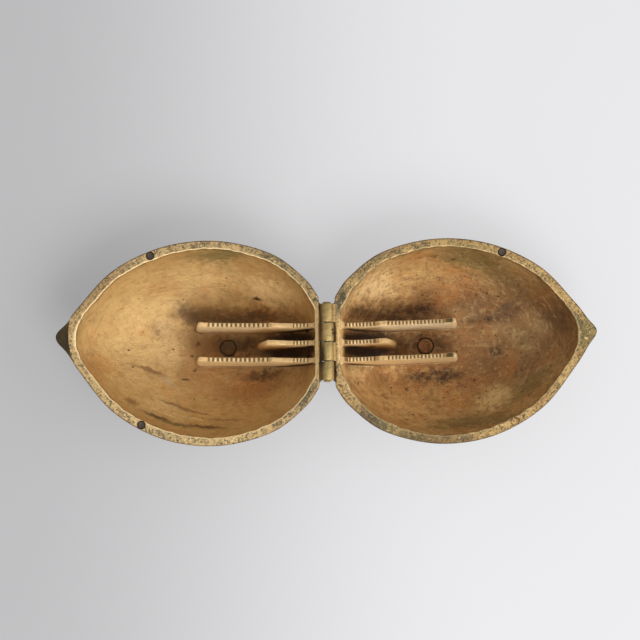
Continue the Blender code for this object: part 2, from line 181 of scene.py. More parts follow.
class FinishColours(bpy.types.PropertyGroup):
    """Colours of the finishes."""
    left_bowl: colour("Left bowl", "Golden brass in the left half", "#C9A467")
    right_bowl: colour("Right bowl", "Browner brass in the right half", "#C49A60")
    # This colour is partly rubbed brass and partly painted light: on the bowl walls that face the lamps, and
    # in the glints
    lit_and_rubbed: colour("Rubbed", "Where the bowl is rubbed clean", "#E8C78C")
    # This colour is partly oil stain and partly painted shade and shadow: behind the rear rails, on the
    # rails' fillets and in the left bowl's dent
    brown_and_shade: colour("Brown", "Where old oil has browned the bowl", "#86613A")
    stain: colour("Stain", "Orange brown stain round the rails", "#93602F")
    # This colour is partly soot and black pits and partly painted shade: in the channels between the rails,
    # in the rails' shadows, along the rim's outer edge and in the gap beside the barrels
    soot_and_shade: colour("Soot", "Dark patches of old oil and dust", "#3A2716")
    # This colour is mostly painted shade and shadow: beside the rails, on the rails' fillets and on the
    # barrels' left sides; it is also the fine grime and the film on the plugs
    shade_and_grime: colour("Dusk", "Soft dark brown film beside the rails", "#5A3F22")
    pale: colour("Pale", "Greyish film on the left bowl", "#B79E78")
    olive: colour("Olive", "Green brown band under the rim", "#7A6E3E")
    orange: colour("Orange", "Redder brass where the casting skin is gone", "#BE7A38")
    rim: colour("Rim", "Filed brass of the rim", "#C2A067")
    # This colour is partly worn, pale brass and partly a painted highlight: on the rim's inner edge and on
    # the lit rear wall of the right bowl
    rim_pale_and_highlight: colour("Rim bright", "Worn inner edge of the rim", "#EFD29E")
    patina: colour("Patina", "Grey green patina on the rim", "#4B4634")
    # This colour is painted light on the sloped face and the top of the right hinge wall, where the rails
    # meet it
    rail: colour("Rail", "Worn brass where the rails meet the hinge wall", "#E4BD7E")
    rail_top: colour("Rail top", "Plain stretches on top of the rails", "#CDAA74")
    # This colour paints the rails' flanks paler than their tops: partly filed brass, partly painted light
    lit_and_filed_flank: colour("Rail flank", "Filed sides of the rails", "#FFE0A6")
    # This colour is painted light on the front flanks of the rear rails
    rail_lit: colour("Bare flank", "The palest flank, filed bare", "#FFF0CC")
    rail_worn: colour("Worn tooth", "Tops of the teeth", "#E0C08A")
    outside: colour("Outside", "Highs of the walnut relief", "#7D6436")
    outside_dark: colour("Outside dark", "Grooves of the walnut relief", "#2B2418")
    knuckle: colour("Knuckle", "Smooth olive brass of the hinge", "#A48D58")
    plug: colour("Plug", "Dull brass of the right floor plug", "#865A33")
    oily_plug: colour("Oily plug", "The left floor plug under old oil", "#524026")
    # This colour is dirt and painted shade between the teeth and on the seats' slopes, and fine grain on the
    # rim
    dirt_and_shade: colour("Rail dirt", "Brown dirt between the teeth", "#3C2A12")
    stud: colour("Stud", "Dark steel of the rim studs", "#514C42")
    floor: colour("Floor", "Pale floor", "#DCDCDE")


# Fineness of the shells' meshes
CURVE_STEPS = 60  # steps to each span of the rim's shape, before even spacing
SIDE_POINTS = 380  # points round one rim from corner to corner
WALL_POINTS = 56  # points along the hinge wall
CORNER_PASSES = 3  # rounding of the corners at the hinge wall
SWAY_POWER = 4  # the tips' lean grows with this power of the distance
BELLY_ROWS = 74
INSIDE_ROWS = 62
RIM_ROWS = 12
BASE_ROWS = 5
BAND_STEP = 0.0009  # spacing of the rows in the plain band under the rim
EDGE_RADIUS = 0.0006  # rounding of the rim's outer edge
WORN_RADIUS = 0.0007  # rounding of the rim's worn inner edge
ROOT_EDGE = 0.0030  # rounding of that edge where the right rails meet the hinge wall
ROOT_EDGE_BREADTH = (0.021, 0.015)  # from the middle: where that rounding is gone, and where it is whole
ROOT_EDGE_REACH = (0.003, 0.001)  # the same from the hinge wall
ROOT_DULLNESS = 0.2  # how much less bright than the worn, highlighted edge it is
EDGE_DEPTHS = (0.00025, 0.0006, 0.0010, 0.0016, 0.0022, 0.0030)
RIM_CROWDING = 1.35  # rows of the rim lie closer together near its inner edge
LIP_RADIUS = 0.00425  # the hinge wall hugs the barrels at this radius
LIP_REACH = 0.70  # how far round the barrel it goes, as a share of that radius
LIP_END = 0.0060  # depth at which the wall is back in its own line
LIP_SIDE = 0.0012  # how far beside the barrels it goes
LIP_FACE = (0.0015, 0.0005)  # from the wall's outside: where the hug is gone, and where it is whole
EDGE_WOBBLE = 0.00050  # unevenness of the inner edge, cut by hand
WOBBLE_SIZE = 0.0045
PLUG_GAP = 0.0003  # clearance round a plug or a stud
RELAX_LENGTH = 0.0048  # how fast the loops round off with depth
RELAX_RATE = 1.6  # rounding passes in one such length
RIDGE_FADE = 0.5  # below 1 the walnut ridges rise fast from the seam and the foot
RIDGE_WANDER = 1.5  # how far they wander, in their own breadths
RIDGE_WANDER_SIZE = 2  # and how long one such bend is
SEAM_START = 0.45  # share of the plain band under which the wall draws in from the seam
SEAM_TIP = (0.002, 0.016)  # from the tip: where the seam doesn't stand proud, and where it does
FOOT_FADE = 0.004  # height over the flat in which the relief fades in
WALL_FADE = (0.0005, 0.010)  # distance from the hinge wall over which it fades in
BOWL_FADE = (0.001, 0.006)  # depth in the bowl over which it fades in

OUTER_FULLNESS = 2.2  # 2 is an ellipse, higher is squarer
INNER_FULLNESS = 2.3
STUD_STEPS = 48
CUT_RISE = 0.003  # how far a stud's cutter stands over the rim
LIFT_ARC = 0.045  # radius of the rim's end over the lowered tip
LIFT_ANGLES = range(-30, 31, 5)  # points on that arc, in degrees
LIFT_MIDDLE = 0.0060
LIFT_FALL = 0.35  # slope of the lowered tip's top
TIP_DRAW = 0.0022  # how far the left tip is drawn out beyond its rounded plan
TIP_DRAW_LEAD = 0.002  # how far before the lowered tip that starts
SHELL_SHARP = 50  # degrees between faces from which an edge of a shell stays sharp

# Fineness and small shapes of the rails
RAIL_DRAFT = math.radians(1.6)
RAIL_YAW = {"right": math.radians(2.0), "left": math.radians(1.1)}
RAIL_STATIONS = 150
RAIL_BURIAL = 0.0012  # how far a rail runs into the hinge wall
RAIL_SINK = 0.0008  # how far its foot lies under the bowl's surface
ROOT_HEIGHT = 0.0006  # height of the blade where it is hidden in the hinge wall
ROOT_FLARE = 0.0016  # rounding between a rail and the hinge wall
CAP_STEPS = 9  # points round a rail's free end
FILLET_STEPS = 5
FILLET_LIMIT = 0.45  # a fillet takes at most this share of the blade's height
FLANK_ROWS = 6
TOP_EDGE = 0.00025  # rounding of a rail's upper edges
EDGE_MIDDLE = 0.3  # the middle row of a rounded edge: share of its radius off either face
TOP_LINE = 0.6  # place of the row on a rail's top, as a share of its half breadth
TOP_ROWS = 3  # rows on a rail's top, which show its dirt
CLOSED = 1.0  # metres by which a row is drawn in to close on its middle line
TALLEST = 0.03  # height of the tallest blade, over which its foot spreads
PROBE_HEIGHT = 0.01  # the bowl's surface is looked for from this far over the rim
RAIL_SHARP = 42  # degrees between faces from which an edge of a rail stays sharp
SEAT_SKEW = 1.25  # above 1 the outer end of a seat is the steeper one
SEAT_POWER = 3.0  # higher is flatter in the middle and steeper at both ends

# Places of the seats, in the order of Seat, the small seat first
SEATS = {
    "right": (
        (0.0104, 0.0305, 0.0102, 0.0284, 0.0286, 0.0305, 0.35),
        (0.0346, 0.0738, 0.0356, 0.0688, 0.0691, 0.0743, 1.00),
    ),
    "left": (
        (0.0082, 0.0315, 0.0112, 0.0196, 0.0000, 0.0000, 0.00),
        (0.0322, 0.0745, 0.0344, 0.0700, 0.0322, 0.0340, 0.55),
    ),
}
TOOTH_SHARE = 0.56  # breadth of a tooth in its pitch
TOOTH_INSET = 0.00012  # a tooth is this much narrower than the rail, on each side
TOOTH_CUT = (0.0004, 0.0002)  # the top is cut down from outside a row of teeth to inside it by these lengths
FLANK_WOBBLE = 0.00012  # unevenness of the filed flanks
FLANK_WOBBLE_SIZE = 0.006
FLANK_APART = 0.002  # keeps the two flanks' unevenness different
WALL_RISE = {"right": 0.0046, "left": 0.0008}  # how far a rail's top rises where it meets the wall
WALL_RISE_REACH = 0.0050
GAP_DIRT_AND_SHADE = 0.88  # how dark the gaps between the teeth are, with dirt and painted shade, the painted shade of the seats' outer slopes being 1
SLOPE_IN = (-0.0010, 0.0012)  # from a shaded slope's start: where its painted shade begins, and where it is whole
SLOPE_OUT = (0.0008, -0.0014)  # the same from its end

# Hinge
KNUCKLES = {1: "right", 2: "left", 3: "right", 4: "left"}  # the half that each barrel belongs to
KNUCKLE_STEPS = 72
KNUCKLE_SHARP = 40
NECK_BURIAL = 0.0004  # how far a neck runs into its own half

# Rings of the pin's domed head: share of its radius, and of its height
PIN_DOME = ((0.12, 1.0), (0.45, 0.96), (0.72, 0.82), (0.90, 0.60), (1.0, 0.35), (1.0, 0.10), (0.92, 0.0))

# Stage, in metres and watts; a light has a place, a size and a power, and both stand to the front right
CAMERA_TARGET = (-0.0040, 0.0128)
CAMERA_DISTANCE = 0.90
CAMERA_SLANT = math.radians(4.9)
CAMERA_ROLL = math.radians(-0.6)
CAMERA_LENS = 87  # millimetres, on a sensor of the breadth below
SENSOR_WIDTH = 36
FLOOR_REACH = 3.0
FLOOR_SHARE = 0.60  # share of the floor's own colour that lightens its shadows
FLOOR_GLOW = (0.48, 1.12)  # brightness of that share, left and right: a painted falloff of light, dimmer to the left
FLOOR_FALL = (-0.20, 0.10)  # where it begins to rise, and where it is whole
LIGHTS = (("key light", (0.50, -1.02, 1.46), 1.0, 19), ("side light", (1.30, -0.25, 0.85), 1.2, 8.5))
WORLD_COLOUR = "#F6F6F5"
WORLD_STRENGTH = 0.66

# Plugs and studs
ROUND_STEPS = 96  # points round a turned piece
ROUND_SHARP = 50
PLUG_EDGE = 0.12  # rounding of a face's edge, as a share of the radius
PLUG_EDGE_MIDDLE = 0.4  # the middle ring of that edge, as a share of the rounding off either face
PLUG_RINGS = ((0.82, 0.5), (0.70, 0.2), (0.50, 0.0), (0.30, 0.0), (0.12, 0.0))  # share of radius, dirt
PLUG_CROWN = 0.00015  # how far a floor plug's face bulges
COLLAR_REACH = 0.9  # share of the joint's gap that dirt fills
PLUG_COLLAR = {"right": 0.0006, "left": 0.0001}  # depth under a face at which the dirt in its joint starts
STUD_COLLAR = 0.0002
STUD_DISH = -0.00020  # how far a rim stud's face is dished
BRASS_STUD = ("right", "front")
RELIEF_SEED = {"right": 1.0, "left": 2.0}
BOWL_SEED = {"right": 1.0, "left": 5.0}
STAIN_STRENGTH = {"right": 0.95, "left": 0.65}
GRIME_SHARE = {"right": 0.46, "left": 0.08}  # fine dark grime
FINE_SHARE = {"right": 1.5, "left": 0.7}  # fine strokes, mottling and glints
PIT_SHARE = {"right": 0.80, "left": 0.45}  # soot in the casting pits
CHANNEL_SHARE = {"right": 0.95, "left": 0.86}  # painted shade, with some soot, in the deep channels between the rails
PITLESS_CELLS = 0.56  # share of the cells that have no pit
MARK_GRAIN = 0.0030  # size of the raggedness of a mark's edge
MARK_WANDER = 0.010  # how far that edge wanders
KNUCKLE_WANDER = 0.0008
RAGGED_BREADTH = 4  # a mark with a smaller half breadth, in millimetres, wanders less

# Middle and reach, seen from above, of the stretches painted lighter and browner: partly wear and oil,
# and partly painted light on the walls that face the lamps and painted shade on those turned away
LIT_AND_RUBBED = {"right": ((0.024, 0.006), (0.050, 0.060)), "left": ((-0.115, 0.012), (0.060, 0.050))}
LIT_AND_RUBBED_SHARE = {"right": 0.95, "left": 0.20}
SHADED_AND_BROWNED = {"right": ((0.103, 0.006), (0.078, 0.056)), "left": ((-0.070, -0.006), (0.052, 0.040))}
SHADED_AND_BROWN_SHARE = {"right": 0.95, "left": 0.32}

# Patches in a bowl's brass: size in metres, fade limits, number and detail
BOWL_PATCHES = (
    ("light", 0.045, 0.46, 0.66, 0, 3.0), ("mottle", 0.011, 0.40, 0.70, 1, 6.0),
    ("stain", 0.026, 0.42, 0.62, 2, 6.0), ("soot_and_shade", 0.016, 0.48, 0.66, 3, 6.0),
    ("speck", 0.0015, 0.56, 0.70, 5, 1.0), ("fine_mottle", 0.0042, 0.42, 0.66, 8, 5.0),
    ("grime", 0.0030, 0.46, 0.66, 9, 7.0), ("glint", 0.0034, 0.46, 0.66, 10, 6.0),
    ("redder", 0.019, 0.48, 0.64, 13, 5.0), ("greener", 0.016, 0.50, 0.66, 14, 5.0),
)

STROKE_CENTRE = 0.070  # middle of the scraper's strokes, from the hinge axis

# Single marks on the bowls, in millimetres from the hinge: x, y, half length, half breadth, turn in
# degrees, colour and strength. Many are stains, soot, wear and pits. The dark marks in the channels at
# the hinge, behind and beside the rear rails and on the right tip's inner wall are painted shade and
# shadow; the dark line with a pale border in the left bowl is a painted dent; the light marks on the
# rear walls near the hinge are painted light.
BOWL_MARKS = {
    "right": (
        (31, 5.5, 20, 5.5, 2, "soot_and_shade", 0.97), (33, -4.5, 22, 5.5, 2, "soot_and_shade", 0.97),
        (70, 2, 44, 13, 1, "brown_and_shade", 0.75), (42, 19, 26, 8, 4, "shade_and_grime", 0.85),
        (57, 21.5, 13, 6, -8, "soot_and_shade", 0.95), (64, -19, 24, 5.5, 3, "soot_and_shade", 0.92),
        (44, 18, 26, 5, 3, "soot_and_shade", 0.70), (20, 20, 9, 5, 10, "soot_and_shade", 0.78), (60, 1, 22, 7, 0, "soot_and_shade", 0.72),
        (50, 0, 26, 8, 2, "shade_and_grime", 0.85), (100, 17, 24, 7, 10, "shade_and_grime", 0.80),
        (60.5, 0.5, 7.0, 6.5, 0, "soot_and_shade", 0.75), (88, 26, 15, 8, 10, "brown_and_shade", 0.90),
        (103, -5, 5, 5, 0, "soot_and_shade", 0.85), (101, 16, 6, 3, -10, "soot_and_shade", 0.55),
        (109, 23, 7, 2, 22, "patina", 0.70), (115, 21, 2, 2, 0, "soot_and_shade", 0.70),
        (119, 2, 5, 3, 40, "soot_and_shade", 0.45), (90, 8, 4, 3, 0, "soot_and_shade", 0.40),
        (136, 15, 17, 9, -52, "shade_and_grime", 0.80), (116, -28, 24, 5, 38, "olive", 0.60),
        (84, 30, 17, 9, 20, "stain", 0.60), (92, -22, 20, 10, 20, "stain", 0.55),
        (36, -24, 20, 8, -10, "stain", 0.55), (127, 26, 12, 6, -50, "stain", 0.50),
        (86, 50, 26, 6, -9, "olive", 0.70), (84, -48, 32, 4, 8, "olive", 0.45),
        (76, 50, 1.6, 0.9, 0, "soot_and_shade", 0.90), (89, -21, 1.3, 1.1, 0, "soot_and_shade", 0.80),
        (38, 36, 0.9, 0.9, 0, "soot_and_shade", 0.90), (18, -23, 1.0, 2.0, 10, "soot_and_shade", 0.80),
        (51, -42, 1.2, 0.9, 0, "soot_and_shade", 0.85), (58, 23, 1.8, 1.2, 20, "soot_and_shade", 0.90),
        (31, 37, 17, 7, 48, "lit_and_rubbed", 0.65), (100, -33, 18, 9, 28, "left_bowl", 0.62),
        (100, -34, 14, 7, 28, "lit_and_rubbed", 0.55), (86, -46, 38, 5, 7, "olive", 0.55),
        (100, 43, 32, 6, -24, "olive", 0.50), (32, 32, 13, 8, 20, "lit_and_rubbed", 0.80),
        (100, -7, 22, 14, 0, "shade_and_grime", 0.30), (64, 30, 14, 8, 10, "shade_and_grime", 0.34),
        (88, 25, 16, 9, 8, "shade_and_grime", 0.36), (112, 34, 30, 7, -38, "shade_and_grime", 0.42),
        (68, -18, 18, 4.5, 3, "soot_and_shade", 0.85), (29, 34, 13, 8, 25, "rim_pale_and_highlight", 0.34),
        (60, 44, 18, 6, 4, "left_bowl", 0.60), (72, 30, 12, 8, 30, "orange", 0.35),
        (110, -10, 12, 7, 60, "orange", 0.35), (78, -34, 14, 6, 10, "orange", 0.40),
        (48.5, -26.6, 2.1, 2.1, 0, "soot_and_shade", 0.80), (48.5, -26.6, 1.3, 1.3, 0, "patina", 0.95),
        (57.5, 6.4, 1.4, 1.2, 0, "soot_and_shade", 0.95),
    ),
    "left": (
        (-22, 5, 20, 5.5, 0, "soot_and_shade", 0.95), (-25, -5, 22, 5.5, 0, "soot_and_shade", 0.95),
        (-62, 19, 38, 7, -4, "shade_and_grime", 0.66), (-53, 2, 27, 8, 0, "soot_and_shade", 0.76),
        (-84, 20, 12, 7, -50, "shade_and_grime", 0.72), (-84, 8, 9, 7, -55, "brown_and_shade", 0.30),
        (-26, 17, 17, 7, -20, "brown_and_shade", 0.45), (-48, -25, 24, 11, 12, "stain", 0.66),
        (-46, -22, 18, 8, 10, "orange", 0.22), (-38, -17, 15, 4.5, 8, "soot_and_shade", 0.95),
        (-55, 17, 26, 4, 0, "soot_and_shade", 0.50), (-40, 20, 14, 4, -8, "soot_and_shade", 0.50),
        (-32, -20, 14, 8, 20, "brown_and_shade", 0.45), (-34, 32, 20, 10, -24, "lit_and_rubbed", 0.95),
        (-22, -32, 12, 9, 20, "lit_and_rubbed", 0.36), (-96, -2, 12, 9, 10, "lit_and_rubbed", 0.35),
        (-74, 55.6, 3, 0.5, 20, "lit_and_rubbed", 0.80), (-66, 56.2, 3, 0.6, -15, "lit_and_rubbed", 0.85),
        (-59.5, 55.4, 4, 0.5, 10, "lit_and_rubbed", 0.80), (-52, 55.6, 3, 0.5, -20, "lit_and_rubbed", 0.75),
        (-107, -13.5, 13, 1.7, -20, "brown_and_shade", 0.90), (-96, -21, 8, 2.0, -35, "pale", 0.60),
        (-97, -38, 19, 8, -18, "lit_and_rubbed", 0.38), (-101, -42, 12, 1.2, -22, "shade_and_grime", 0.85),
        (-74, -48, 17, 1.2, -5, "shade_and_grime", 0.80), (-90, -46.5, 14, 1.0, -14, "olive", 0.90),
        (-91, -35, 13, 1.2, -20, "brown_and_shade", 0.75), (-98, -39.5, 13, 0.6, -20, "lit_and_rubbed", 0.70),
        (-84, -42, 14, 0.7, -14, "lit_and_rubbed", 0.50), (-116, -33, 5, 2, -30, "brown_and_shade", 0.75),
        (-80, -39, 15, 0.9, -12, "brown_and_shade", 0.60), (-62, -44, 14, 0.8, -2, "brown_and_shade", 0.55),
        (-63, 53, 26, 4, 3, "olive", 0.80), (-97, 33, 18, 9, 20, "olive", 0.16),
        (-100, 12, 9, 6, 20, "pale", 0.35), (-86, -19, 3.4, 0.9, 2, "soot_and_shade", 0.95),
        (-42, 29, 4.0, 1.1, -14, "soot_and_shade", 0.95), (-50, 1, 8, 5, 0, "soot_and_shade", 0.55),
        (-78.5, 2.5, 1.4, 1.6, 20, "soot_and_shade", 0.75), (-82, -5, 1.4, 1.0, 0, "soot_and_shade", 0.80),
        (-80, -13.5, 1.6, 1.3, 30, "soot_and_shade", 0.75), (-79.5, 11, 1.6, 1.6, 30, "soot_and_shade", 0.70),
        (-119.4, -1.2, 1.0, 0.9, 0, "soot_and_shade", 0.90), (-93.5, -0.7, 1.0, 0.9, 0, "soot_and_shade", 0.90),
        (-116.8, -11.6, 0.7, 0.7, 0, "soot_and_shade", 0.90), (-102.4, 9.3, 2.2, 2.0, 0, "brown_and_shade", 0.55),
        (-60, 0.5, 7.5, 5.5, 0, "soot_and_shade", 0.85),
    ),
}
# Marks on the rims, in the same columns as the bowls' marks. The dark marks along the hinge gap beside the
# barrels and at the right tip's inner edge are painted shade; the rest are patina, oil and wear.
RIM_MARKS = (
    (-80, -8, 100, 110, 0, "rim_pale_and_highlight", 0.42), (9, 28, 1.6, 1.0, 40, "soot_and_shade", 0.85),
    (7.6, -25.4, 2.0, 1.1, -30, "soot_and_shade", 0.80), (-9.7, -28.6, 1.3, 1.1, 0, "soot_and_shade", 0.85),
    (-6.8, 24.5, 2.6, 1.6, 0, "patina", 0.85), (147, 3, 17, 14, 0, "olive", 0.75),
    (151, 0.7, 1.2, 1.0, 0, "rim_pale_and_highlight", 0.80), (38, -54, 34, 10, -14, "olive", 0.48),
    (26, -45, 16, 6, -38, "patina", 0.72), (64, -57, 30, 9, -2, "shade_and_grime", 0.55),
    (95, 44, 30, 9, -32, "olive", 0.40), (-134, 33, 26, 10, 45, "brown_and_shade", 0.50),
    (143, 13, 13, 4, -55, "soot_and_shade", 0.62), (-28, 44, 28, 10, -38, "patina", 0.35),
    (24, 48, 20, 9, 40, "patina", 0.30), (8, 24, 11, 3.4, 78, "patina", 0.85),
    (-15, -32, 12, 5, 48, "patina", 0.70), (5.0, -17.5, 7, 1.0, 90, "soot_and_shade", 1.00),
    (4.9, 5, 5, 0.6, 90, "soot_and_shade", 0.80),
)

# Marks on the barrels, in the same columns: the two long dark ones are painted shade on the barrels' left
# sides; the small ones are nicks
KNUCKLE_MARKS = (
    (-3.6, -8.5, 3.3, 10, 0, "soot_and_shade", 1.0), (-4.2, 9.5, 2.0, 10, 0, "shade_and_grime", 0.90),
    (3.2, 6.9, 1.1, 0.8, 60, "soot_and_shade", 1.0), (3.5, 4.9, 1.2, 0.8, 80, "soot_and_shade", 1.0),
)

# Zones of a shell's skin
OUTSIDE = 0
RIM = 1
INSIDE = 2


def add_node(tree, kind, inputs=None, **settings):
    """One node with its settings; each input is a value, a socket or a node whose first output feeds it.

    Inputs go by name, or by number where a node has several of one name.
    """
    node = tree.nodes.new(kind)
    for name, value in settings.items():
        setattr(node, name, value)
    for key, value in (inputs or {}).items():
        if isinstance(value, bpy.types.Node):
            value = value.outputs[0]
        if isinstance(value, bpy.types.NodeSocket):
            tree.links.new(value, node.inputs[key])
        else:
            node.inputs[key].default_value = value
    return node


def new_tree(name, sockets):
    """An empty geometry tree with named inputs, and its input and output nodes."""
    tree = bpy.data.node_groups.new(name, "GeometryNodeTree")
    tree.interface.new_socket("Geometry", in_out="INPUT", socket_type="NodeSocketGeometry")
    tree.interface.new_socket("Geometry", in_out="OUTPUT", socket_type="NodeSocketGeometry")
    for socket_name, kind in sockets:
        tree.interface.new_socket(socket_name, in_out="INPUT", socket_type="NodeSocket" + kind)
    given = tree.nodes.new("NodeGroupInput").outputs
    result = tree.nodes.new("NodeGroupOutput").inputs
    return tree, given, result


def add_tree(piece, tree, values):
    """The tree as a modifier, its inputs set by identifier."""
    modifier = piece.modifiers.new(tree.name, "NODES")
    modifier.node_group = tree
    for item in tree.interface.items_tree:
        if item.in_out == "INPUT" and item.name in values:
            modifier[item.identifier] = values[item.name]


def settle(piece, sharp_degrees):
    """The piece with its modifiers worked into a plain mesh, shaded smooth between sharp edges."""
    graph = bpy.context.evaluated_depsgraph_get()
    plain = bpy.data.meshes.new_from_object(piece.evaluated_get(graph))
    worked = piece.data
    piece.modifiers.clear()
    piece.data = plain
    bpy.data.meshes.remove(worked)
    plain.name = piece.name
    plain.shade_smooth()
    plain.set_sharp_from_angle(angle=math.radians(sharp_degrees))
    return piece


def make_piece(name, vertices, faces, materials=()):
    """A mesh object at the origin, its faces turned outwards."""
    mesh = bpy.data.meshes.new(name)
    mesh.from_pydata(vertices, [], faces)
    work = bmesh.new()
    work.from_mesh(mesh)
    bmesh.ops.recalc_face_normals(work, faces=work.faces)
    work.to_mesh(mesh)
    work.free()
    for material in materials:
        mesh.materials.append(material)
    piece = bpy.data.objects.new(name, mesh)
    bpy.context.scene.collection.objects.link(piece)
    return piece


def set_values(piece, name, values, domain="POINT", kind="FLOAT"):
    """A named attribute, one value to each point or face."""
    attribute = piece.data.attributes.new(name, kind, domain)
    attribute.data.foreach_set("value", np.asarray(values, dtype=float if kind == "FLOAT" else int))


def hand_in(piece, body, slot, *nodes):
    """The finished piece rides on its body and stands for its nodes."""
    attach(piece, body)
    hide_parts(*nodes)


def smoothstep(low, high, value):
    share = np.clip((value - low) / (high - low), 0, 1)
    return share * share * (3 - 2 * share)


def ring_faces(rows, count, joined=True):
    """Quads between rows of equal length, each row a closed loop; joined adds last row to first."""
    here = np.arange(rows * count).reshape(rows, count)
    below = np.roll(here, -1, axis=0)
    quads = np.stack((here, np.roll(here, -1, axis=1), np.roll(below, -1, axis=1), below), axis=2)
    if not joined:
        quads = quads[:-1]
    return quads.reshape(-1, 4)


def smooth_curve(points, steps):
    """Points on a Catmull-Rom curve through the given ones."""
    guides = np.vstack((2 * points[0] - points[1], points, 2 * points[-1] - points[-2]))
    t = (np.arange(steps) / steps)[:, None]
    spans = []
    for before, start, end, after in zip(guides, guides[1:], guides[2:], guides[3:]):
        square = (2 * before - 5 * start + 4 * end - after) * t ** 2
        cube = (3 * start - before - 3 * end + after) * t ** 3
        spans.append((2 * start + (end - before) * t + square + cube) / 2)
    return np.vstack(spans + [points[-1:]])


def rim_side(sizes, edge, back, tip, half_width):
    """A rim edge from above, from the rear corner round the tip to the front corner."""
    rear = np.array([(back + (tip - back) * row[edge], half_width * row[edge + 1]) for row in RIM_PLAN])
    front = rear[-2::-1] * (1, -1)
    side = smooth_curve(np.vstack((rear, front)), CURVE_STEPS)
    share = (side[:, 0] - sizes.back_face) / (sizes.half_length - sizes.back_face)
    side[:, 1] += sizes.tip_sway * np.sign(share) * np.abs(share) ** SWAY_POWER
    return side


def relaxed(loop, passes):
    """The loop with its corners rounded a little at each pass."""
    for _ in range(passes):
        loop = (np.roll(loop, 1, axis=0) + 2 * loop + np.roll(loop, -1, axis=0)) / 4
    return loop


def rim_loops(sizes, hinge_wall, tip_draw):
    """The outer and the inner edge of the rim, point beside point."""
    outer = rim_side(sizes, OUTER_EDGE, sizes.back_face, sizes.half_length, sizes.half_width)
    inner = rim_side(sizes, INNER_EDGE, sizes.back_face + hinge_wall, sizes.half_length - sizes.tip_wall,
                     sizes.half_width - sizes.rim_width)
    run = np.concatenate(([0], np.cumsum(np.linalg.norm(np.diff(outer, axis=0), axis=1))))
    order = np.arange(len(run))
    places = np.interp(np.linspace(0, run[-1], SIDE_POINTS), run, order)
    wall_share = (np.arange(1, WALL_POINTS) / WALL_POINTS)[:, None]
    loops = []
    for side in (outer, inner):
        even = np.column_stack([np.interp(places, order, side[:, axis]) for axis in (0, 1)])
        wall = even[-1] + (even[0] - even[-1]) * wall_share
        loops.append(relaxed(np.vstack((even, wall)), CORNER_PASSES))
    outer, inner = loops
    draw_start = sizes.lift_start - TIP_DRAW_LEAD
    outer[:, 0] += tip_draw * smoothstep(draw_start, sizes.half_length, outer[:, 0])
    across = outer - inner
    across /= np.linalg.norm(across, axis=1, keepdims=True)
    wobble = [noise.noise(Vector((x, y, hinge_wall)) / WOBBLE_SIZE) for x, y in inner]
    inner = inner + across * np.array(wobble)[:, None] * EDGE_WOBBLE
    return outer, inner, across


def level_depths(first_depth, last_depth, full_depth, fullness, count):
    """Depths of a bowl's rows, even round its curve."""
    first = math.asin((first_depth / full_depth) ** (fullness / 2))
    last = math.asin((last_depth / full_depth) ** (fullness / 2))
    return full_depth * np.sin(np.linspace(first, last, count + 1)) ** (2 / fullness)


def bowl_row(rim, depth, full_depth, fullness, ridge, hole):
    """One row of a bowl, drawn in from its rim towards the round hole in the floor."""
    spread = (1 - min(1, (depth / full_depth) ** fullness)) ** (1 / fullness)
    out = rim - POLE
    reach = np.linalg.norm(out, axis=1, keepdims=True)
    place = POLE + out / reach * (hole + (reach - ridge - hole) * spread)
    return np.column_stack((place, np.full(len(rim), -depth)))


def relax_passes(depth_step, loop):
    """Passes that round the loop as fast with depth as the cast form does."""
    spacing = np.linalg.norm(np.diff(loop, axis=0), axis=1).mean()
    return max(1, round(depth_step * RELAX_LENGTH / spacing ** 2 * RELAX_RATE))


def walnut_ridges(sizes, row, depth):
    """The row with the shell's broad wandering ridges, flat at the seam and the foot."""
    share = (depth - sizes.seam_height) / (RIM_HEIGHT - sizes.seam_height)
    if share <= 0 or share >= 1:
        return row
    fade = math.sin(math.pi * share) ** RIDGE_FADE
    away = row - np.array((POLE[0], 0, 0))
    away /= np.linalg.norm(away, axis=1, keepdims=True)
    bend = RIDGE_WANDER_SIZE * sizes.ridge_pitch
    wander = np.array([noise.noise(Vector(point) / bend) for point in row])
    stripe = np.sin(2 * math.pi * (row[:, 1] / sizes.ridge_pitch + RIDGE_WANDER * wander))
    return row + away * (sizes.ridge_height * fade * stripe)[:, None]


def barrel_lip(row, depth):
    """The row with the hinge wall hugging the barrels, so that only a thin dark gap shows beside them."""
    drop = depth + HINGE_AXIS.z - RIM_HEIGHT
    if drop < LIP_REACH * LIP_RADIUS:
        hug = math.sqrt(LIP_RADIUS ** 2 - drop ** 2)
    else:
        hug = LIP_RADIUS * math.sqrt(1 - LIP_REACH ** 2)
    back = smoothstep(LIP_REACH * LIP_RADIUS, LIP_END, depth)
    beside = smoothstep(KNUCKLE_HIGH.y + LIP_SIDE, KNUCKLE_HIGH.y, np.abs(row[:, 1]))
    near = smoothstep(SHELL_LOW.x + LIP_FACE[0], SHELL_LOW.x + LIP_FACE[1], row[:, 0])
    shift = np.maximum(row[:, 0] - hug, 0) * beside * near * (1 - back)
    return row - np.column_stack((shift, np.zeros((len(row), 2))))


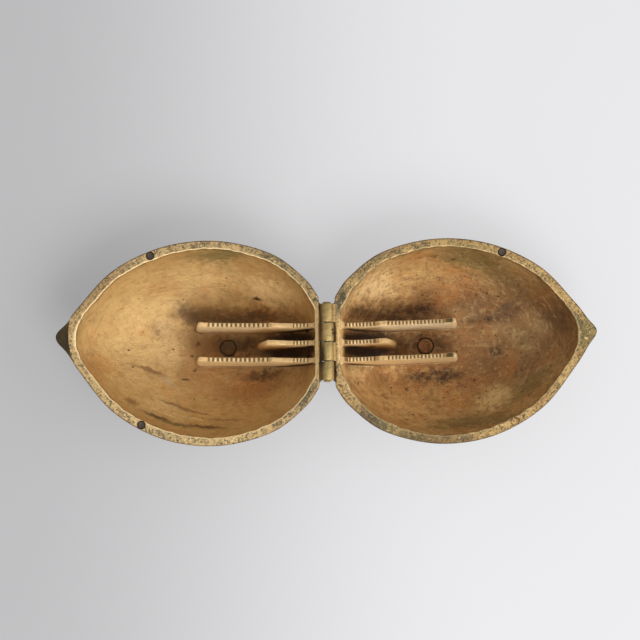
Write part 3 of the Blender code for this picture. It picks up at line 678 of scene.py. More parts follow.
def outside_rows(sizes, outer, hole):
    """Rows from the rim's outer edge over the seam and the belly to the flat and its hole."""
    full_depth = RIM_HEIGHT + sizes.base_cut
    band = np.arange(EDGE_RADIUS, sizes.seam_height, BAND_STEP)
    belly = level_depths(sizes.seam_height, RIM_HEIGHT, full_depth, OUTER_FULLNESS, BELLY_ROWS)
    rows = []
    loop = outer
    before = sizes.seam_height
    for depth in np.concatenate((band, belly)):
        if depth > before:
            loop = relaxed(loop, relax_passes(depth - before, outer))
            before = depth
        tip_end, tip_start = SEAM_TIP
        beside_tip = smoothstep(sizes.half_length - tip_end, sizes.half_length - tip_start, loop[:, :1])
        ridge = sizes.seam_ridge * smoothstep(SEAM_START, 1.0, depth / sizes.seam_height) * beside_tip
        row = barrel_lip(bowl_row(loop, depth, full_depth, OUTER_FULLNESS, ridge, hole), depth)
        rows.append(walnut_ridges(sizes, row, depth))
    last = rows[-1]
    out = last[:, :2] - POLE
    rim_of_hole = POLE + out / np.linalg.norm(out, axis=1, keepdims=True) * hole
    hole_row = np.column_stack((rim_of_hole, last[:, 2]))
    for step in range(1, BASE_ROWS + 1):
        rows.append(last + (hole_row - last) * step / BASE_ROWS)
    return rows


def edge_turn(distance, radius):
    """Places on a rounded edge for points at a distance from the sharp one: along their face and off it."""
    turn = np.clip(1 - distance / radius, 0, 1) * math.pi / 4
    along = np.where(distance < radius, radius * (1 - np.sin(turn)), distance)
    return along, radius * (1 - np.cos(turn))


def inside_rows(sizes, inner, across, edge, hole):
    """Rows from the hole in the floor up to the rounded edge under the rim."""
    full_depth = RIM_HEIGHT - sizes.floor_thickness
    rows = []
    loop = inner
    before = EDGE_DEPTHS[-1]
    deep = level_depths(before, full_depth, full_depth, INNER_FULLNESS, INSIDE_ROWS)
    for depth in np.concatenate((EDGE_DEPTHS[:-1], deep)):
        if depth > before:
            loop = relaxed(loop, relax_passes(depth - before, inner))
            before = depth
        row = bowl_row(loop, depth, full_depth, INNER_FULLNESS, 0, hole)
        down, back = edge_turn(np.full(len(inner), depth), edge)
        row[:, :2] += across * back[:, None]
        row[:, 2] = -down
        rows.append(row)
    return rows[::-1]


def rim_rows(outer, inner, across, edge):
    """Rows over the flat rim, from the worn inner edge to the rounded outer one, and their share."""
    breadth = np.linalg.norm(outer - inner, axis=1) - EDGE_RADIUS
    rows = []
    shares = []
    for step in range(RIM_ROWS + 1):
        part = (step / RIM_ROWS) ** RIM_CROWDING
        along, down = edge_turn(part * breadth, edge)
        rows.append(np.column_stack((inner + across * along[:, None], -down)))
        shares.append(1 - part)
    end = inner + across * breadth[:, None]
    for angle in (math.pi / 6, math.pi / 3):
        turned = end + across * EDGE_RADIUS * math.sin(angle)
        rows.append(np.column_stack((turned, np.full(len(turned), EDGE_RADIUS * (math.cos(angle) - 1)))))
        shares.append(0.0)
    return rows, shares


def edge_radii(half, inner, wall):
    """Radius of the rim's inner edge: fine all round, and broad where the right rails meet the hinge wall."""
    if half == "left":
        return np.full(len(inner), WORN_RADIUS)
    near_middle = smoothstep(*ROOT_EDGE_BREADTH, np.abs(inner[:, 1]))
    near_wall = smoothstep(wall + ROOT_EDGE_REACH[0], wall + ROOT_EDGE_REACH[1], inner[:, 0])
    return WORN_RADIUS + (ROOT_EDGE - WORN_RADIUS) * (near_middle * near_wall)


def relief_shares(shell, sizes, points, zones, count):
    """Where relief shows: on the belly and in the bowl, not at the seam, the foot, the hinge and the rim."""
    depth = RIM_HEIGHT - points[:, 2]
    reach = np.abs(points[:, 0]) - sizes.back_face
    is_outside = np.repeat([zone == OUTSIDE for zone in zones], count)
    is_inside = np.repeat([zone == INSIDE for zone in zones], count)
    under_seam = smoothstep(sizes.seam_height, 2 * sizes.seam_height, depth)
    over_foot = smoothstep(0, FOOT_FADE, points[:, 2])
    set_values(shell, "outside_share", is_outside * under_seam * over_foot * smoothstep(*WALL_FADE, reach))
    set_values(shell, "inside_share", is_inside * smoothstep(*BOWL_FADE, depth))


def shell_blank(half, sizes, material):
    """One half shell as one skin: outside, hole, inside and rim, with shares for the relief."""
    side = SIDES[half]
    hinge_wall = getattr(sizes, half + "_hinge_wall")
    outer, inner, across = rim_loops(sizes, hinge_wall, TIP_DRAW if half == "left" else 0)
    hole = (PLUG_HIGH.x - PLUG_LOW.x) / 2 + PLUG_GAP
    edge = edge_radii(half, inner, sizes.back_face + hinge_wall)
    outside = outside_rows(sizes, outer, hole)
    inside = inside_rows(sizes, inner, across, edge, hole)
    top, top_share = rim_rows(outer, inner, across, edge)
    rows = outside + inside + top
    zones = [OUTSIDE] * len(outside) + [INSIDE] * len(inside) + [RIM] * len(top)
    count = len(outer)
    points = np.vstack(rows) * (side, 1, 1) + (0, 0, RIM_HEIGHT)
    faces = ring_faces(len(rows), count)
    shell = make_piece(half + "_half_shell", points.tolist(), faces.tolist(), [material])
    set_values(shell, "zone", np.repeat(zones[1:] + [RIM], count), "FACE", "INT")
    relief_shares(shell, sizes, points, zones, count)
    rim_share = np.repeat([0] * len(outside) + [1] * len(inside) + top_share, count)
    root = smoothstep(WORN_RADIUS, ROOT_EDGE, np.tile(edge, len(rows)))
    set_values(shell, "rim_share", rim_share * (1 - ROOT_DULLNESS * root))
    return shell


def add_prism(points, faces, lower, upper):
    """A closed prism between two rings, one above the other, added to a cutter's points and faces."""
    first = len(points)
    count = len(lower)
    points += lower + upper
    faces.append([first + step for step in range(count)])
    faces.append([first + count + step for step in range(count)])
    for step in range(count):
        beside = (step + 1) % count
        faces.append([first + step, first + beside, first + count + beside, first + count + step])


def stud_cutter(points, faces, node):
    """A round hole for one rim stud."""
    low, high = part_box(node)
    radius = (high.x - low.x) / 2 + PLUG_GAP
    centre = (low + high) / 2
    rings = []
    for height in (low.z - PLUG_GAP, high.z + CUT_RISE):
        angles = [2 * math.pi * step / STUD_STEPS for step in range(STUD_STEPS)]
        rings.append([(centre.x + radius * math.cos(angle), centre.y + radius * math.sin(angle), height)
                      for angle in angles])
    add_prism(points, faces, *rings)


def lift_cutter(points, faces, sizes):
    """The block that leaves the left tip lower, its inner side an arc in line with the rim."""
    plan = []
    for degrees in LIFT_ANGLES:
        angle = math.radians(degrees)
        x = -sizes.lift_start + LIFT_ARC * (1 - math.cos(angle))
        plan.append((x, LIFT_MIDDLE + LIFT_ARC * math.sin(angle)))
    beyond = -sizes.half_length - sizes.lift_step
    plan += [(beyond, plan[-1][1]), (beyond, plan[0][1])]
    falls = [sizes.lift_step + LIFT_FALL * (abs(x) - sizes.lift_start) for x, _ in plan]
    lower = [(x, y, RIM_HEIGHT - fall) for (x, y), fall in zip(plan, falls)]
    upper = [(x, y, RIM_HEIGHT + sizes.lift_step) for x, y in plan]
    add_prism(points, faces, lower, upper)


def cut_shell(shell, half, sizes):
    """Stud holes, and on the left the lowered tip, taken out of the shell."""
    points = []
    faces = []
    for place in ("rear", "front"):
        stud_cutter(points, faces, half + "_" + place + "_rim_stud")
    if half == "left":
        lift_cutter(points, faces, sizes)
    cutter = make_piece(half + "_cutter", points, faces)
    cut = shell.modifiers.new("cuts", "BOOLEAN")
    cut.operation = "DIFFERENCE"
    cut.solver = "EXACT"
    cut.object = cutter
    return cutter


def walnut_furrows(tree, given, place):
    """Furrows, 0 to 1, round cells that are longer than broad and wander, as on a walnut."""
    per_cell = add_node(tree, "ShaderNodeMath", {0: 1.0, 1: given["Groove Spacing"]}, operation="DIVIDE")
    cells = add_node(tree, "ShaderNodeVectorMath", {0: place, "Scale": per_cell}, operation="SCALE")
    drawn = add_node(tree, "ShaderNodeVectorMath", {0: cells, 1: (0.42, 1.0, 0.9)}, operation="MULTIPLY")
    drift = add_node(tree, "ShaderNodeTexNoise", {"Vector": drawn, "W": given["Seed"], "Scale": 0.8,
        "Detail": 2.0}, noise_dimensions="4D")
    centred = add_node(tree, "ShaderNodeVectorMath", {0: drift.outputs["Color"], 1: (0.5, 0.5, 0.5)},
        operation="SUBTRACT")
    bent = add_node(tree, "ShaderNodeVectorMath", {0: centred, 1: (1.5, 1.5, 1.5), 2: drawn},
        operation="MULTIPLY_ADD")
    borders = add_node(tree, "ShaderNodeTexVoronoi", {"Vector": bent, "Scale": 1.0},
        feature="DISTANCE_TO_EDGE")
    groove = add_node(tree, "ShaderNodeMapRange", {"Value": borders,
        "From Min": 0.01, "From Max": 0.22, "To Min": 1.0, "To Max": 0.0}, **SOFT)
    wrinkle = add_node(tree, "ShaderNodeTexNoise", {"Vector": drawn, "W": given["Seed"], "Scale": 2.4,
        "Detail": 3.0, "Distortion": 0.6}, noise_dimensions="4D")
    shallow = add_node(tree, "ShaderNodeMapRange", {"Value": wrinkle, "From Min": 0.35,
        "From Max": 0.65, "To Min": 0.55, "To Max": 0.0}, **SOFT)
    return add_node(tree, "ShaderNodeMath", {0: groove, 1: shallow}, operation="MAXIMUM")


def scraped_waves(tree, given, place, inside_share):
    """Long shallow waves about 18 mm apart, left by scraping and filing the bowl, in metres."""
    waves = add_node(tree, "ShaderNodeTexNoise", {"Vector": place, "W": given["Seed"], "Scale": 55.0,
        "Detail": 3.0, "Roughness": 0.55}, noise_dimensions="4D")
    even = add_node(tree, "ShaderNodeMath", {0: waves, 1: 0.5}, operation="SUBTRACT")
    worked = add_node(tree, "ShaderNodeMath", {0: even, 1: inside_share}, operation="MULTIPLY")
    hollows = add_node(tree, "ShaderNodeMath", {0: worked, 1: given["Unevenness"]}, operation="MULTIPLY")
    return add_node(tree, "ShaderNodeMath", {0: hollows, 1: 2.0}, operation="MULTIPLY")


def relief_tree():
    """Walnut grooves on the outside and hand finished unevenness on the inside, along the surface."""
    tree, given, result = new_tree("Cast relief", (
        ("Groove Depth", "Float"), ("Groove Spacing", "Float"), ("Unevenness", "Float"), ("Seed", "Float"),
        ("Outside", "Material"), ("Rim", "Material"), ("Inside", "Material"),
    ))
    place = add_node(tree, "GeometryNodeInputPosition")
    normal = add_node(tree, "GeometryNodeInputNormal")
    outside_share = add_node(tree, "GeometryNodeInputNamedAttribute", {"Name": "outside_share"})
    inside_share = add_node(tree, "GeometryNodeInputNamedAttribute", {"Name": "inside_share"})
    zone = add_node(tree, "GeometryNodeInputNamedAttribute", {"Name": "zone"}, data_type="INT")

    furrows = walnut_furrows(tree, given, place)
    carved = add_node(tree, "ShaderNodeMath", {0: furrows, 1: outside_share}, operation="MULTIPLY")
    inwards = add_node(tree, "ShaderNodeMath", {0: given["Groove Depth"], 1: -1.0}, operation="MULTIPLY")
    grooves = add_node(tree, "ShaderNodeMath", {0: carved, 1: inwards}, operation="MULTIPLY")
    waves = scraped_waves(tree, given, place, inside_share)
    height = add_node(tree, "ShaderNodeMath", {0: grooves, 1: waves}, operation="ADD")
    offset = add_node(tree, "ShaderNodeVectorMath", {0: normal, "Scale": height}, operation="SCALE")
    moved = add_node(tree, "GeometryNodeSetPosition", {"Geometry": given["Geometry"], "Offset": offset})
    marked = add_node(tree, "GeometryNodeStoreNamedAttribute", {"Geometry": moved, "Name": "groove",
        "Value": carved}, data_type="FLOAT", domain="POINT")
    shown = add_node(tree, "GeometryNodeRealizeInstances", {"Geometry": marked})
    for number, name in ((OUTSIDE, "Outside"), (RIM, "Rim"), (INSIDE, "Inside")):
        here = add_node(tree, "FunctionNodeCompare", {2: zone, 3: number}, data_type="INT", operation="EQUAL")
        shown = add_node(tree, "GeometryNodeSetMaterial", {"Geometry": shown, "Selection": here,
            "Material": given[name]})
    tree.links.new(shown.outputs[0], result["Geometry"])
    return tree


def seat_line(tree, given):
    """A curve through the teeth's places, one at each pitch, let down onto the dipping seat."""
    pitch = add_node(tree, "ShaderNodeCombineXYZ", {"X": given["Pitch"]})
    first = add_node(tree, "ShaderNodeCombineXYZ", {"X": given["First"]})
    line = add_node(tree, "GeometryNodeMeshLine", {"Count": given["Count"], "Start Location": first,
        "Offset": pitch}, mode="OFFSET")
    place = add_node(tree, "GeometryNodeInputPosition")
    distance = add_node(tree, "ShaderNodeSeparateXYZ", {0: place})
    share = add_node(tree, "ShaderNodeMapRange", {"Value": distance,
        "From Min": given["Seat Start"], "From Max": given["Seat End"]})
    skewed = add_node(tree, "ShaderNodeMath", {0: share, 1: given["Skew"]}, operation="POWER")
    centred = add_node(tree, "ShaderNodeMath", {0: skewed, 1: 2.0, 2: -1.0}, operation="MULTIPLY_ADD")
    away = add_node(tree, "ShaderNodeMath", {0: centred}, operation="ABSOLUTE")
    rise = add_node(tree, "ShaderNodeMath", {0: away, 1: given["Flatness"]}, operation="POWER")
    bow = add_node(tree, "ShaderNodeMath", {0: 1.0, 1: rise}, operation="SUBTRACT")
    dip = add_node(tree, "ShaderNodeMath", {0: bow, 1: given["Sag"], 2: given["Top Depth"]},
        operation="MULTIPLY_ADD")
    drop = add_node(tree, "ShaderNodeMath", {0: dip, 1: -1.0}, operation="MULTIPLY")
    offset = add_node(tree, "ShaderNodeCombineXYZ", {"Z": drop})
    seated = add_node(tree, "GeometryNodeSetPosition", {"Geometry": line, "Offset": offset})
    return add_node(tree, "GeometryNodeMeshToCurve", {"Mesh": seated})


def filed_teeth(tree, given, path):
    """Rounded blocks square to the seat, each a little off in size and tilt, as cut and filed by hand."""
    heading = add_node(tree, "GeometryNodeInputTangent")
    aligned = add_node(tree, "FunctionNodeAlignRotationToVector", {"Vector": heading}, axis="X")
    block = add_node(tree, "GeometryNodeMeshCube", {"Size": given["Tooth Size"]})
    round_block = add_node(tree, "GeometryNodeSubdivisionSurface", {"Mesh": block, "Level": 2,
        "Edge Crease": 0.72})
    size = add_node(tree, "FunctionNodeRandomValue", {0: (0.86, 0.94, 0.80), 1: (1.06, 1.0, 1.05),
        "Seed": given["Seed"]}, data_type="FLOAT_VECTOR")
    tilt = add_node(tree, "FunctionNodeRandomValue", {0: (-0.05, -0.10, -0.09), 1: (0.05, 0.10, 0.09),
        "Seed": given["Seed"]}, data_type="FLOAT_VECTOR")
    hand = add_node(tree, "FunctionNodeEulerToRotation", {0: tilt})
    filed = add_node(tree, "FunctionNodeRotateRotation", {0: aligned, 1: hand}, rotation_space="LOCAL")
    teeth = add_node(tree, "GeometryNodeInstanceOnPoints", {"Points": path, "Instance": round_block,
        "Rotation": filed, "Scale": size})
    turned = add_node(tree, "GeometryNodeTransform", {"Geometry": teeth, "Translation": given["Root"],
        "Rotation": given["Turn"]})
    real = add_node(tree, "GeometryNodeRealizeInstances", {"Geometry": turned})
    marked = add_node(tree, "GeometryNodeSetShadeSmooth", {"Geometry": real})
    for name in ("tooth", "height_share"):
        marked = add_node(tree, "GeometryNodeStoreNamedAttribute", {"Geometry": marked, "Name": name,
            "Value": 1.0}, data_type="FLOAT", domain="POINT")
    return marked


def teeth_tree():
    """A row of filed teeth along a dipping seat, joined to the rail that the modifier sits on."""
    tree, given, result = new_tree("Tooth row", (
        ("Count", "Int"), ("First", "Float"), ("Pitch", "Float"), ("Seat Start", "Float"),
        ("Seat End", "Float"), ("Sag", "Float"), ("Skew", "Float"), ("Flatness", "Float"),
        ("Top Depth", "Float"), ("Tooth Size", "Vector"), ("Root", "Vector"), ("Turn", "Vector"),
        ("Seed", "Int"), ("Material", "Material"),
    ))
    teeth = filed_teeth(tree, given, seat_line(tree, given))
    both = add_node(tree, "GeometryNodeJoinGeometry")
    tree.links.new(given["Geometry"], both.inputs[0])
    tree.links.new(teeth.outputs[0], both.inputs[0])
    shown = add_node(tree, "GeometryNodeRealizeInstances", {"Geometry": both})
    finished = add_node(tree, "GeometryNodeSetMaterial", {"Geometry": shown, "Material": given["Material"]})
    tree.links.new(finished.outputs[0], result["Geometry"])
    return tree


class Rail(NamedTuple):
    """One rail's place in its half, in metres from the hinge axis."""
    half: str
    is_long: bool
    wall: float
    root_y: float
    foot_end: float
    top_end: float


class Seat(NamedTuple):
    """One seat of a rail, in metres from the hinge axis."""
    start: float
    end: float
    first_tooth: float
    last_tooth: float
    slope_start: float
    slope_end: float
    slope_shade: float
    sag: float
    pitch: float


def seat_dip(seat, distance):
    """How far a seat dips at a distance from the hinge."""
    share = np.clip((distance - seat.start) / (seat.end - seat.start), 0, 1) ** SEAT_SKEW
    return seat.sag * (1 - np.abs(2 * share - 1) ** SEAT_POWER)


def rail_seats(rail, rails):
    """The seats of a rail with their sag and tooth pitch; a middle rail has the small one alone."""
    large_pitch = getattr(rails, rail.half + "_large_pitch")
    kinds = ((rails.small_sag, rails.small_pitch), (rails.large_sag, large_pitch))
    seats = [Seat(*places, *kind) for places, kind in zip(SEATS[rail.half], kinds)]
    return seats if rail.is_long else seats[:1]


def rail_top(rail, rails, distance):
    """Depth of a rail's top below the rim, without its teeth."""
    depth = np.full(len(distance), rails.top_depth)
    outside, inside = TOOTH_CUT
    for seat in rail_seats(rail, rails):
        rise = smoothstep(seat.first_tooth - outside, seat.first_tooth + inside, distance)
        cut = rise - smoothstep(seat.last_tooth - inside, seat.last_tooth + outside, distance)
        depth += seat_dip(seat, distance) + rails.tooth_height * cut
    return depth


def seat_dirt_and_shade(rail, rails, distance):
    """Dirt and painted shade on a rail's top: some between the teeth, and most as painted shade on the seats'
    slopes that face away from the light.
    """
    dirt = np.zeros(len(distance))
    for seat in rail_seats(rail, rails):
        between = GAP_DIRT_AND_SHADE * (distance > seat.first_tooth) * (distance < seat.last_tooth)
        slope = smoothstep(seat.slope_start + SLOPE_IN[0], seat.slope_start + SLOPE_IN[1], distance)
        fade = smoothstep(seat.slope_end + SLOPE_OUT[0], seat.slope_end + SLOPE_OUT[1], distance)
        dirt = np.maximum(dirt, np.maximum(between, seat.slope_shade * slope * fade))
    return dirt


def plan_points(rail, along, offset):
    """World x and y of points given along a rail from the hinge axis and across it."""
    yaw = RAIL_YAW[rail.half]
    x = along - offset * math.sin(yaw)
    y = rail.root_y + (along - rail.wall) * math.tan(yaw) + offset * math.cos(yaw)
    return np.column_stack((SIDES[rail.half] * x, y))


def bowl_floor(surface, rail, along, offset):
    """Depth below the rim of the bowl's surface under points of a rail's plan; a plug fills its hole."""
    depths = []
    for x, y in plan_points(rail, along, offset):
        hit = surface.ray_cast(Vector((x, y, RIM_HEIGHT + PROBE_HEIGHT)), Vector((0, 0, -1)))[0]
        depths.append(RIM_HEIGHT - (hit.z if hit else PLUG_HIGH.z))
    return np.array(depths)


def blade_outline():
    """Points round a rail's plan by way of its free end: share of its length, and direction outwards."""
    turns = np.linspace(math.pi / 2, -math.pi / 2, CAP_STEPS)
    run = np.linspace(0, 1, RAIL_STATIONS)
    share = np.concatenate((run, np.ones(CAP_STEPS), run[::-1]))
    normal_x = np.concatenate((np.zeros(RAIL_STATIONS), np.cos(turns), np.zeros(RAIL_STATIONS)))
    normal_y = np.concatenate((np.ones(RAIL_STATIONS), np.sin(turns), -np.ones(RAIL_STATIONS)))
    return share, normal_x, normal_y


def blade_levels(rails, full):
    """Rows of a blade from its hidden foot to its top: height over the bowl, growth of the half breadth."""
    rise = np.minimum(rails.foot_radius, FILLET_LIMIT * full)
    hidden = np.full(len(full), -RAIL_SINK)
    levels = [(hidden, -CLOSED), (hidden, rails.foot_radius)]
    for step in range(FILLET_STEPS + 1):
        angle = math.pi / 2 * step / FILLET_STEPS
        levels.append((rise * (1 - math.cos(angle)), rails.foot_radius * (1 - math.sin(angle))))
    flank = np.maximum(full - TOP_EDGE, rise) - rise
    for step in range(1, FLANK_ROWS + 1):
        levels.append((rise + flank * step / FLANK_ROWS, 0))
    levels.append((full - EDGE_MIDDLE * TOP_EDGE, -EDGE_MIDDLE * TOP_EDGE))
    for inset in (TOP_EDGE, TOP_LINE * (rails.top_thickness / 2), CLOSED):
        levels.append((full, -inset))
    return levels


def rail_blade(name, rail, rails, surface, material):
    """A thin blade that grows out of the bowl with a fillet all round and has a dipping top."""
    share, normal_x, normal_y = blade_outline()
    half_top = rails.top_thickness / 2
    start = rail.wall - RAIL_BURIAL

    def spine(height_share):
        """Distance from the hinge axis of the points on the middle line, at a share of the height."""
        end = rail.foot_end + (rail.top_end - rail.foot_end) * height_share - half_top
        return start + (end - start) * share

    places = zip(spine(0), normal_y * FLANK_APART)
    wobble = np.array([noise.noise(Vector((x, y, rail.root_y)) / FLANK_WOBBLE_SIZE) for x, y in places])
    spread = half_top + rails.foot_radius + TALLEST * math.tan(RAIL_DRAFT)
    top = rail_top(rail, rails, spine(1) + normal_x * half_top)
    top -= WALL_RISE[rail.half] * smoothstep(rail.wall + WALL_RISE_REACH, rail.wall, spine(1))
    floor = bowl_floor(surface, rail, spine(0) + normal_x * spread, normal_y * spread)
    floor = np.maximum(floor, top + ROOT_HEIGHT)
    full = floor - top
    away = np.clip((spine(1) - rail.wall) / ROOT_FLARE, 0, 1)
    flare = ROOT_FLARE * (1 - np.sqrt(1 - (1 - away) ** 2)) * (share < 1)
    rows = []
    height_shares = []
    for height, growth in blade_levels(rails, full):
        height_share = np.clip(height / full, 0, 1)
        draft = (full - height) * math.tan(RAIL_DRAFT)
        thickness = np.maximum(half_top + draft + wobble * FLANK_WOBBLE + flare + growth, 0)
        place = plan_points(rail, spine(height_share) + normal_x * thickness, normal_y * thickness)
        rows.append(np.column_stack((place, RIM_HEIGHT - floor + height)))
        height_shares.append(height_share)
    points = np.vstack(rows)
    faces = ring_faces(len(rows), len(share), joined=False)
    blade = make_piece(name, points.tolist(), faces.tolist(), [material])
    set_values(blade, "height_share", np.concatenate(height_shares))
    set_values(blade, "tooth", np.zeros(len(points)))
    clean = np.zeros(len(points) - TOP_ROWS * len(share))
    set_values(blade, "root", np.concatenate((clean, np.tile(seat_dirt_and_shade(rail, rails, spine(1)), TOP_ROWS))))
    merge_doubles(blade)
    return blade


def merge_doubles(piece):
    """Points that meet made one, and the faces turned outwards again."""
    work = bmesh.new()
    work.from_mesh(piece.data)
    bmesh.ops.remove_doubles(work, verts=work.verts, dist=1e-6)
    bmesh.ops.recalc_face_normals(work, faces=work.faces)
    work.to_mesh(piece.data)
    work.free()


def add_teeth(blade, rail, rails, tree, material, seed):
    """One row of teeth for each seat of the rail."""
    yaw = RAIL_YAW[rail.half]
    # A row starts at the hinge axis, so its root is put back by the rail's own lean
    root = (0, rail.root_y - rail.wall * math.tan(yaw), RIM_HEIGHT)
    turn = (0, 0, yaw if rail.half == "right" else math.pi - yaw)
    for seat in rail_seats(rail, rails):
        stretch = seat.last_tooth - seat.first_tooth
        count = int(stretch / seat.pitch)
        margin = (stretch - count * seat.pitch) / 2
        size = (seat.pitch * TOOTH_SHARE, rails.top_thickness - 2 * TOOTH_INSET, 2 * rails.tooth_height)
        add_tree(blade, tree, {
            "Count": count, "First": seat.first_tooth + margin + seat.pitch / 2, "Pitch": seat.pitch,
            "Seat Start": seat.start, "Seat End": seat.end, "Sag": seat.sag, "Skew": SEAT_SKEW,
            "Flatness": SEAT_POWER, "Top Depth": rails.top_depth + rails.tooth_height, "Tooth Size": size,
            "Root": root, "Turn": turn, "Seed": seed, "Material": material,
        })
        seed += 1


def turned_piece(name, profile, centre, axis, material):
    """A round piece: rings of (radius, position along the axis, dirt), closed at both ends."""
    axis = Vector(axis)
    across = axis.orthogonal().normalized()
    beside = axis.cross(across)
    points = []
    dirt = []
    for radius, position, share in profile:
        for step in range(ROUND_STEPS):
            angle = 2 * math.pi * step / ROUND_STEPS
            spoke = across * math.cos(angle) + beside * math.sin(angle)
            points.append(Vector(centre) + axis * position + spoke * radius)
            dirt.append(share)
    faces = ring_faces(len(profile), ROUND_STEPS, joined=False).tolist()
    faces.append(list(range(ROUND_STEPS)))
    faces.append(list(range(len(points) - ROUND_STEPS, len(points))))
    piece = make_piece(name, points, faces, [material])
    set_values(piece, "dirt", dirt)
    return settle(piece, ROUND_SHARP)


def knuckle_outline(hinge, back_face, radius):
    """A barrel's section seen along the pin, with the neck that joins it to its half."""
    sweep = 2 * math.pi - math.asin(hinge.neck_drop / hinge.knuckle_radius)
    angles = [sweep * step / KNUCKLE_STEPS for step in range(KNUCKLE_STEPS + 1)]
    outline = [(radius * math.cos(angle), radius * math.sin(angle)) for angle in angles]
    reach = back_face + NECK_BURIAL
    return outline + [(reach, -hinge.neck_drop), (reach, RIM_HEIGHT - HINGE_AXIS.z)]


def make_knuckle(number, hinge, back_face, material):
    """One barrel with rounded ends and its bore."""
    low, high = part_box("hinge_knuckle_" + str(number))
    side = SIDES[KNUCKLES[number]]
    radius = hinge.knuckle_radius
    edge = hinge.edge
    middle = EDGE_MIDDLE * edge
    rows = []
    for y, cut in ((low.y, edge), (low.y + middle, middle), (low.y + edge, 0),
                   (high.y - edge, 0), (high.y - middle, middle), (high.y, edge)):
        rows.append([(x, y, z) for x, z in knuckle_outline(hinge, back_face, radius - cut)])
    bore = hinge.pin_radius + hinge.bore_gap
    for y in (high.y, low.y):
        ring = []
        for x, z in knuckle_outline(hinge, back_face, radius):
            reach = math.hypot(x, z)
            ring.append((x / reach * bore, y, z / reach * bore))
        rows.append(ring)
    points = [(side * x, y, HINGE_AXIS.z + z) for row in rows for x, y, z in row]
    faces = ring_faces(len(rows), len(rows[0])).tolist()
    return settle(make_piece("knuckle_" + str(number), points, faces, [material]), KNUCKLE_SHARP)


def patches(tree, place, size, low, high, seed, detail=3.0, stretch=(1, 1, 1)):
    """Soft patches of a real size in metres, 0 between them and 1 inside."""
    drawn = add_node(tree, "ShaderNodeVectorMath", {0: place, 1: stretch}, operation="MULTIPLY")
    cloud = add_node(tree, "ShaderNodeTexNoise", {"Vector": drawn, "W": seed, "Scale": 1 / size,
        "Detail": detail, "Roughness": 0.6}, noise_dimensions="4D")
    return add_node(tree, "ShaderNodeMapRange", {"Value": cloud, "From Min": low,
        "From Max": high}, **SOFT)


def pits(tree, place, spacing, radius, seed):
    """Casting pits as round dots of a real radius, one in some of the cells, 1 inside."""
    moved = add_node(tree, "ShaderNodeVectorMath", {0: place, 1: (seed, 0.37 * seed, 0.0)}, operation="ADD")
    cells = add_node(tree, "ShaderNodeTexVoronoi", {"Vector": moved, "Scale": 1 / spacing})
    dot = add_node(tree, "ShaderNodeMapRange", {"Value": cells,
        "From Min": radius / spacing, "From Max": 0.7 * radius / spacing}, **SOFT)
    lot = add_node(tree, "ShaderNodeSeparateColor", {0: cells.outputs["Color"]})
    drawn = add_node(tree, "ShaderNodeMath", {0: lot, 1: PITLESS_CELLS}, operation="GREATER_THAN")
    return add_node(tree, "ShaderNodeMath", {0: dot, 1: drawn}, operation="MULTIPLY")


def product(tree, first, second, scale=1.0):
    """One share narrowed by another and scaled."""
    both = add_node(tree, "ShaderNodeMath", {0: first, 1: second}, operation="MULTIPLY")
    return add_node(tree, "ShaderNodeMath", {0: both, 1: scale}, operation="MULTIPLY", use_clamp=True)


def paint(tree, shader, colours, base, *layers):
    """The shader's colour: a base with lists of coats over it, laid on in turn.

    A coat is a colour's name and the share that it covers, or two shares that narrow each other and a scale.
    """
    shade = (*getattr(colours, base), 1)
    for tint, share, *narrowed in chain(*layers):
        if narrowed:
            share = product(tree, share, *narrowed)
        coat = (*getattr(colours, tint), 1)
        shade = add_node(tree, "ShaderNodeMix", {0: share, 6: shade, 7: coat}, data_type="RGBA").outputs[2]
    tree.links.new(shade, shader.inputs["Base Color"])


def new_material(name, metallic):
    """An empty material with its tree, its shader and the places on the object that its patterns follow."""
    material = bpy.data.materials.new(name)
    material.use_nodes = True
    tree = material.node_tree
    shader = tree.nodes["Principled BSDF"]
    shader.inputs["Metallic"].default_value = metallic
    place = add_node(tree, "ShaderNodeTexCoord").outputs["Object"]
    return material, tree, shader, place


def around(tree, place, centre, reach, core=0.35):
    """1 near a place seen from above, fading to 0 at its reach."""
    off = add_node(tree, "ShaderNodeVectorMath", {0: place, 1: (-centre[0], -centre[1], 0)}, operation="ADD")
    scaled = add_node(tree, "ShaderNodeVectorMath", {0: off, 1: (1 / reach[0], 1 / reach[1], 0)},
        operation="MULTIPLY")
    far = add_node(tree, "ShaderNodeVectorMath", {0: scaled}, operation="LENGTH")
    return add_node(tree, "ShaderNodeMapRange", {"Value": far.outputs["Value"], "From Min": 1.0,
        "From Max": core}, **SOFT)


def strokes(tree, place, side, seed):
    """Strokes of a scraper that ran round the bowl, 12 mm long and drawn 1 mm broad so that they show."""
    off = add_node(tree, "ShaderNodeVectorMath", {0: place, 1: (-side * STROKE_CENTRE, 0, 0)},
        operation="ADD")
    oval = add_node(tree, "ShaderNodeVectorMath", {0: off, 1: (0.75, 1.0, 0)}, operation="MULTIPLY")
    reach = add_node(tree, "ShaderNodeVectorMath", {0: oval}, operation="LENGTH")
    heading = add_node(tree, "ShaderNodeVectorMath", {0: oval}, operation="NORMALIZE")
    arc = add_node(tree, "ShaderNodeVectorMath", {0: heading, "Scale": 0.0052}, operation="SCALE")
    spoke = add_node(tree, "ShaderNodeCombineXYZ", {"Z": reach.outputs["Value"]})
    drawn = add_node(tree, "ShaderNodeVectorMath", {0: arc, 1: spoke}, operation="ADD")
    return patches(tree, drawn, 0.0011, 0.50, 0.70, seed, detail=5.0)


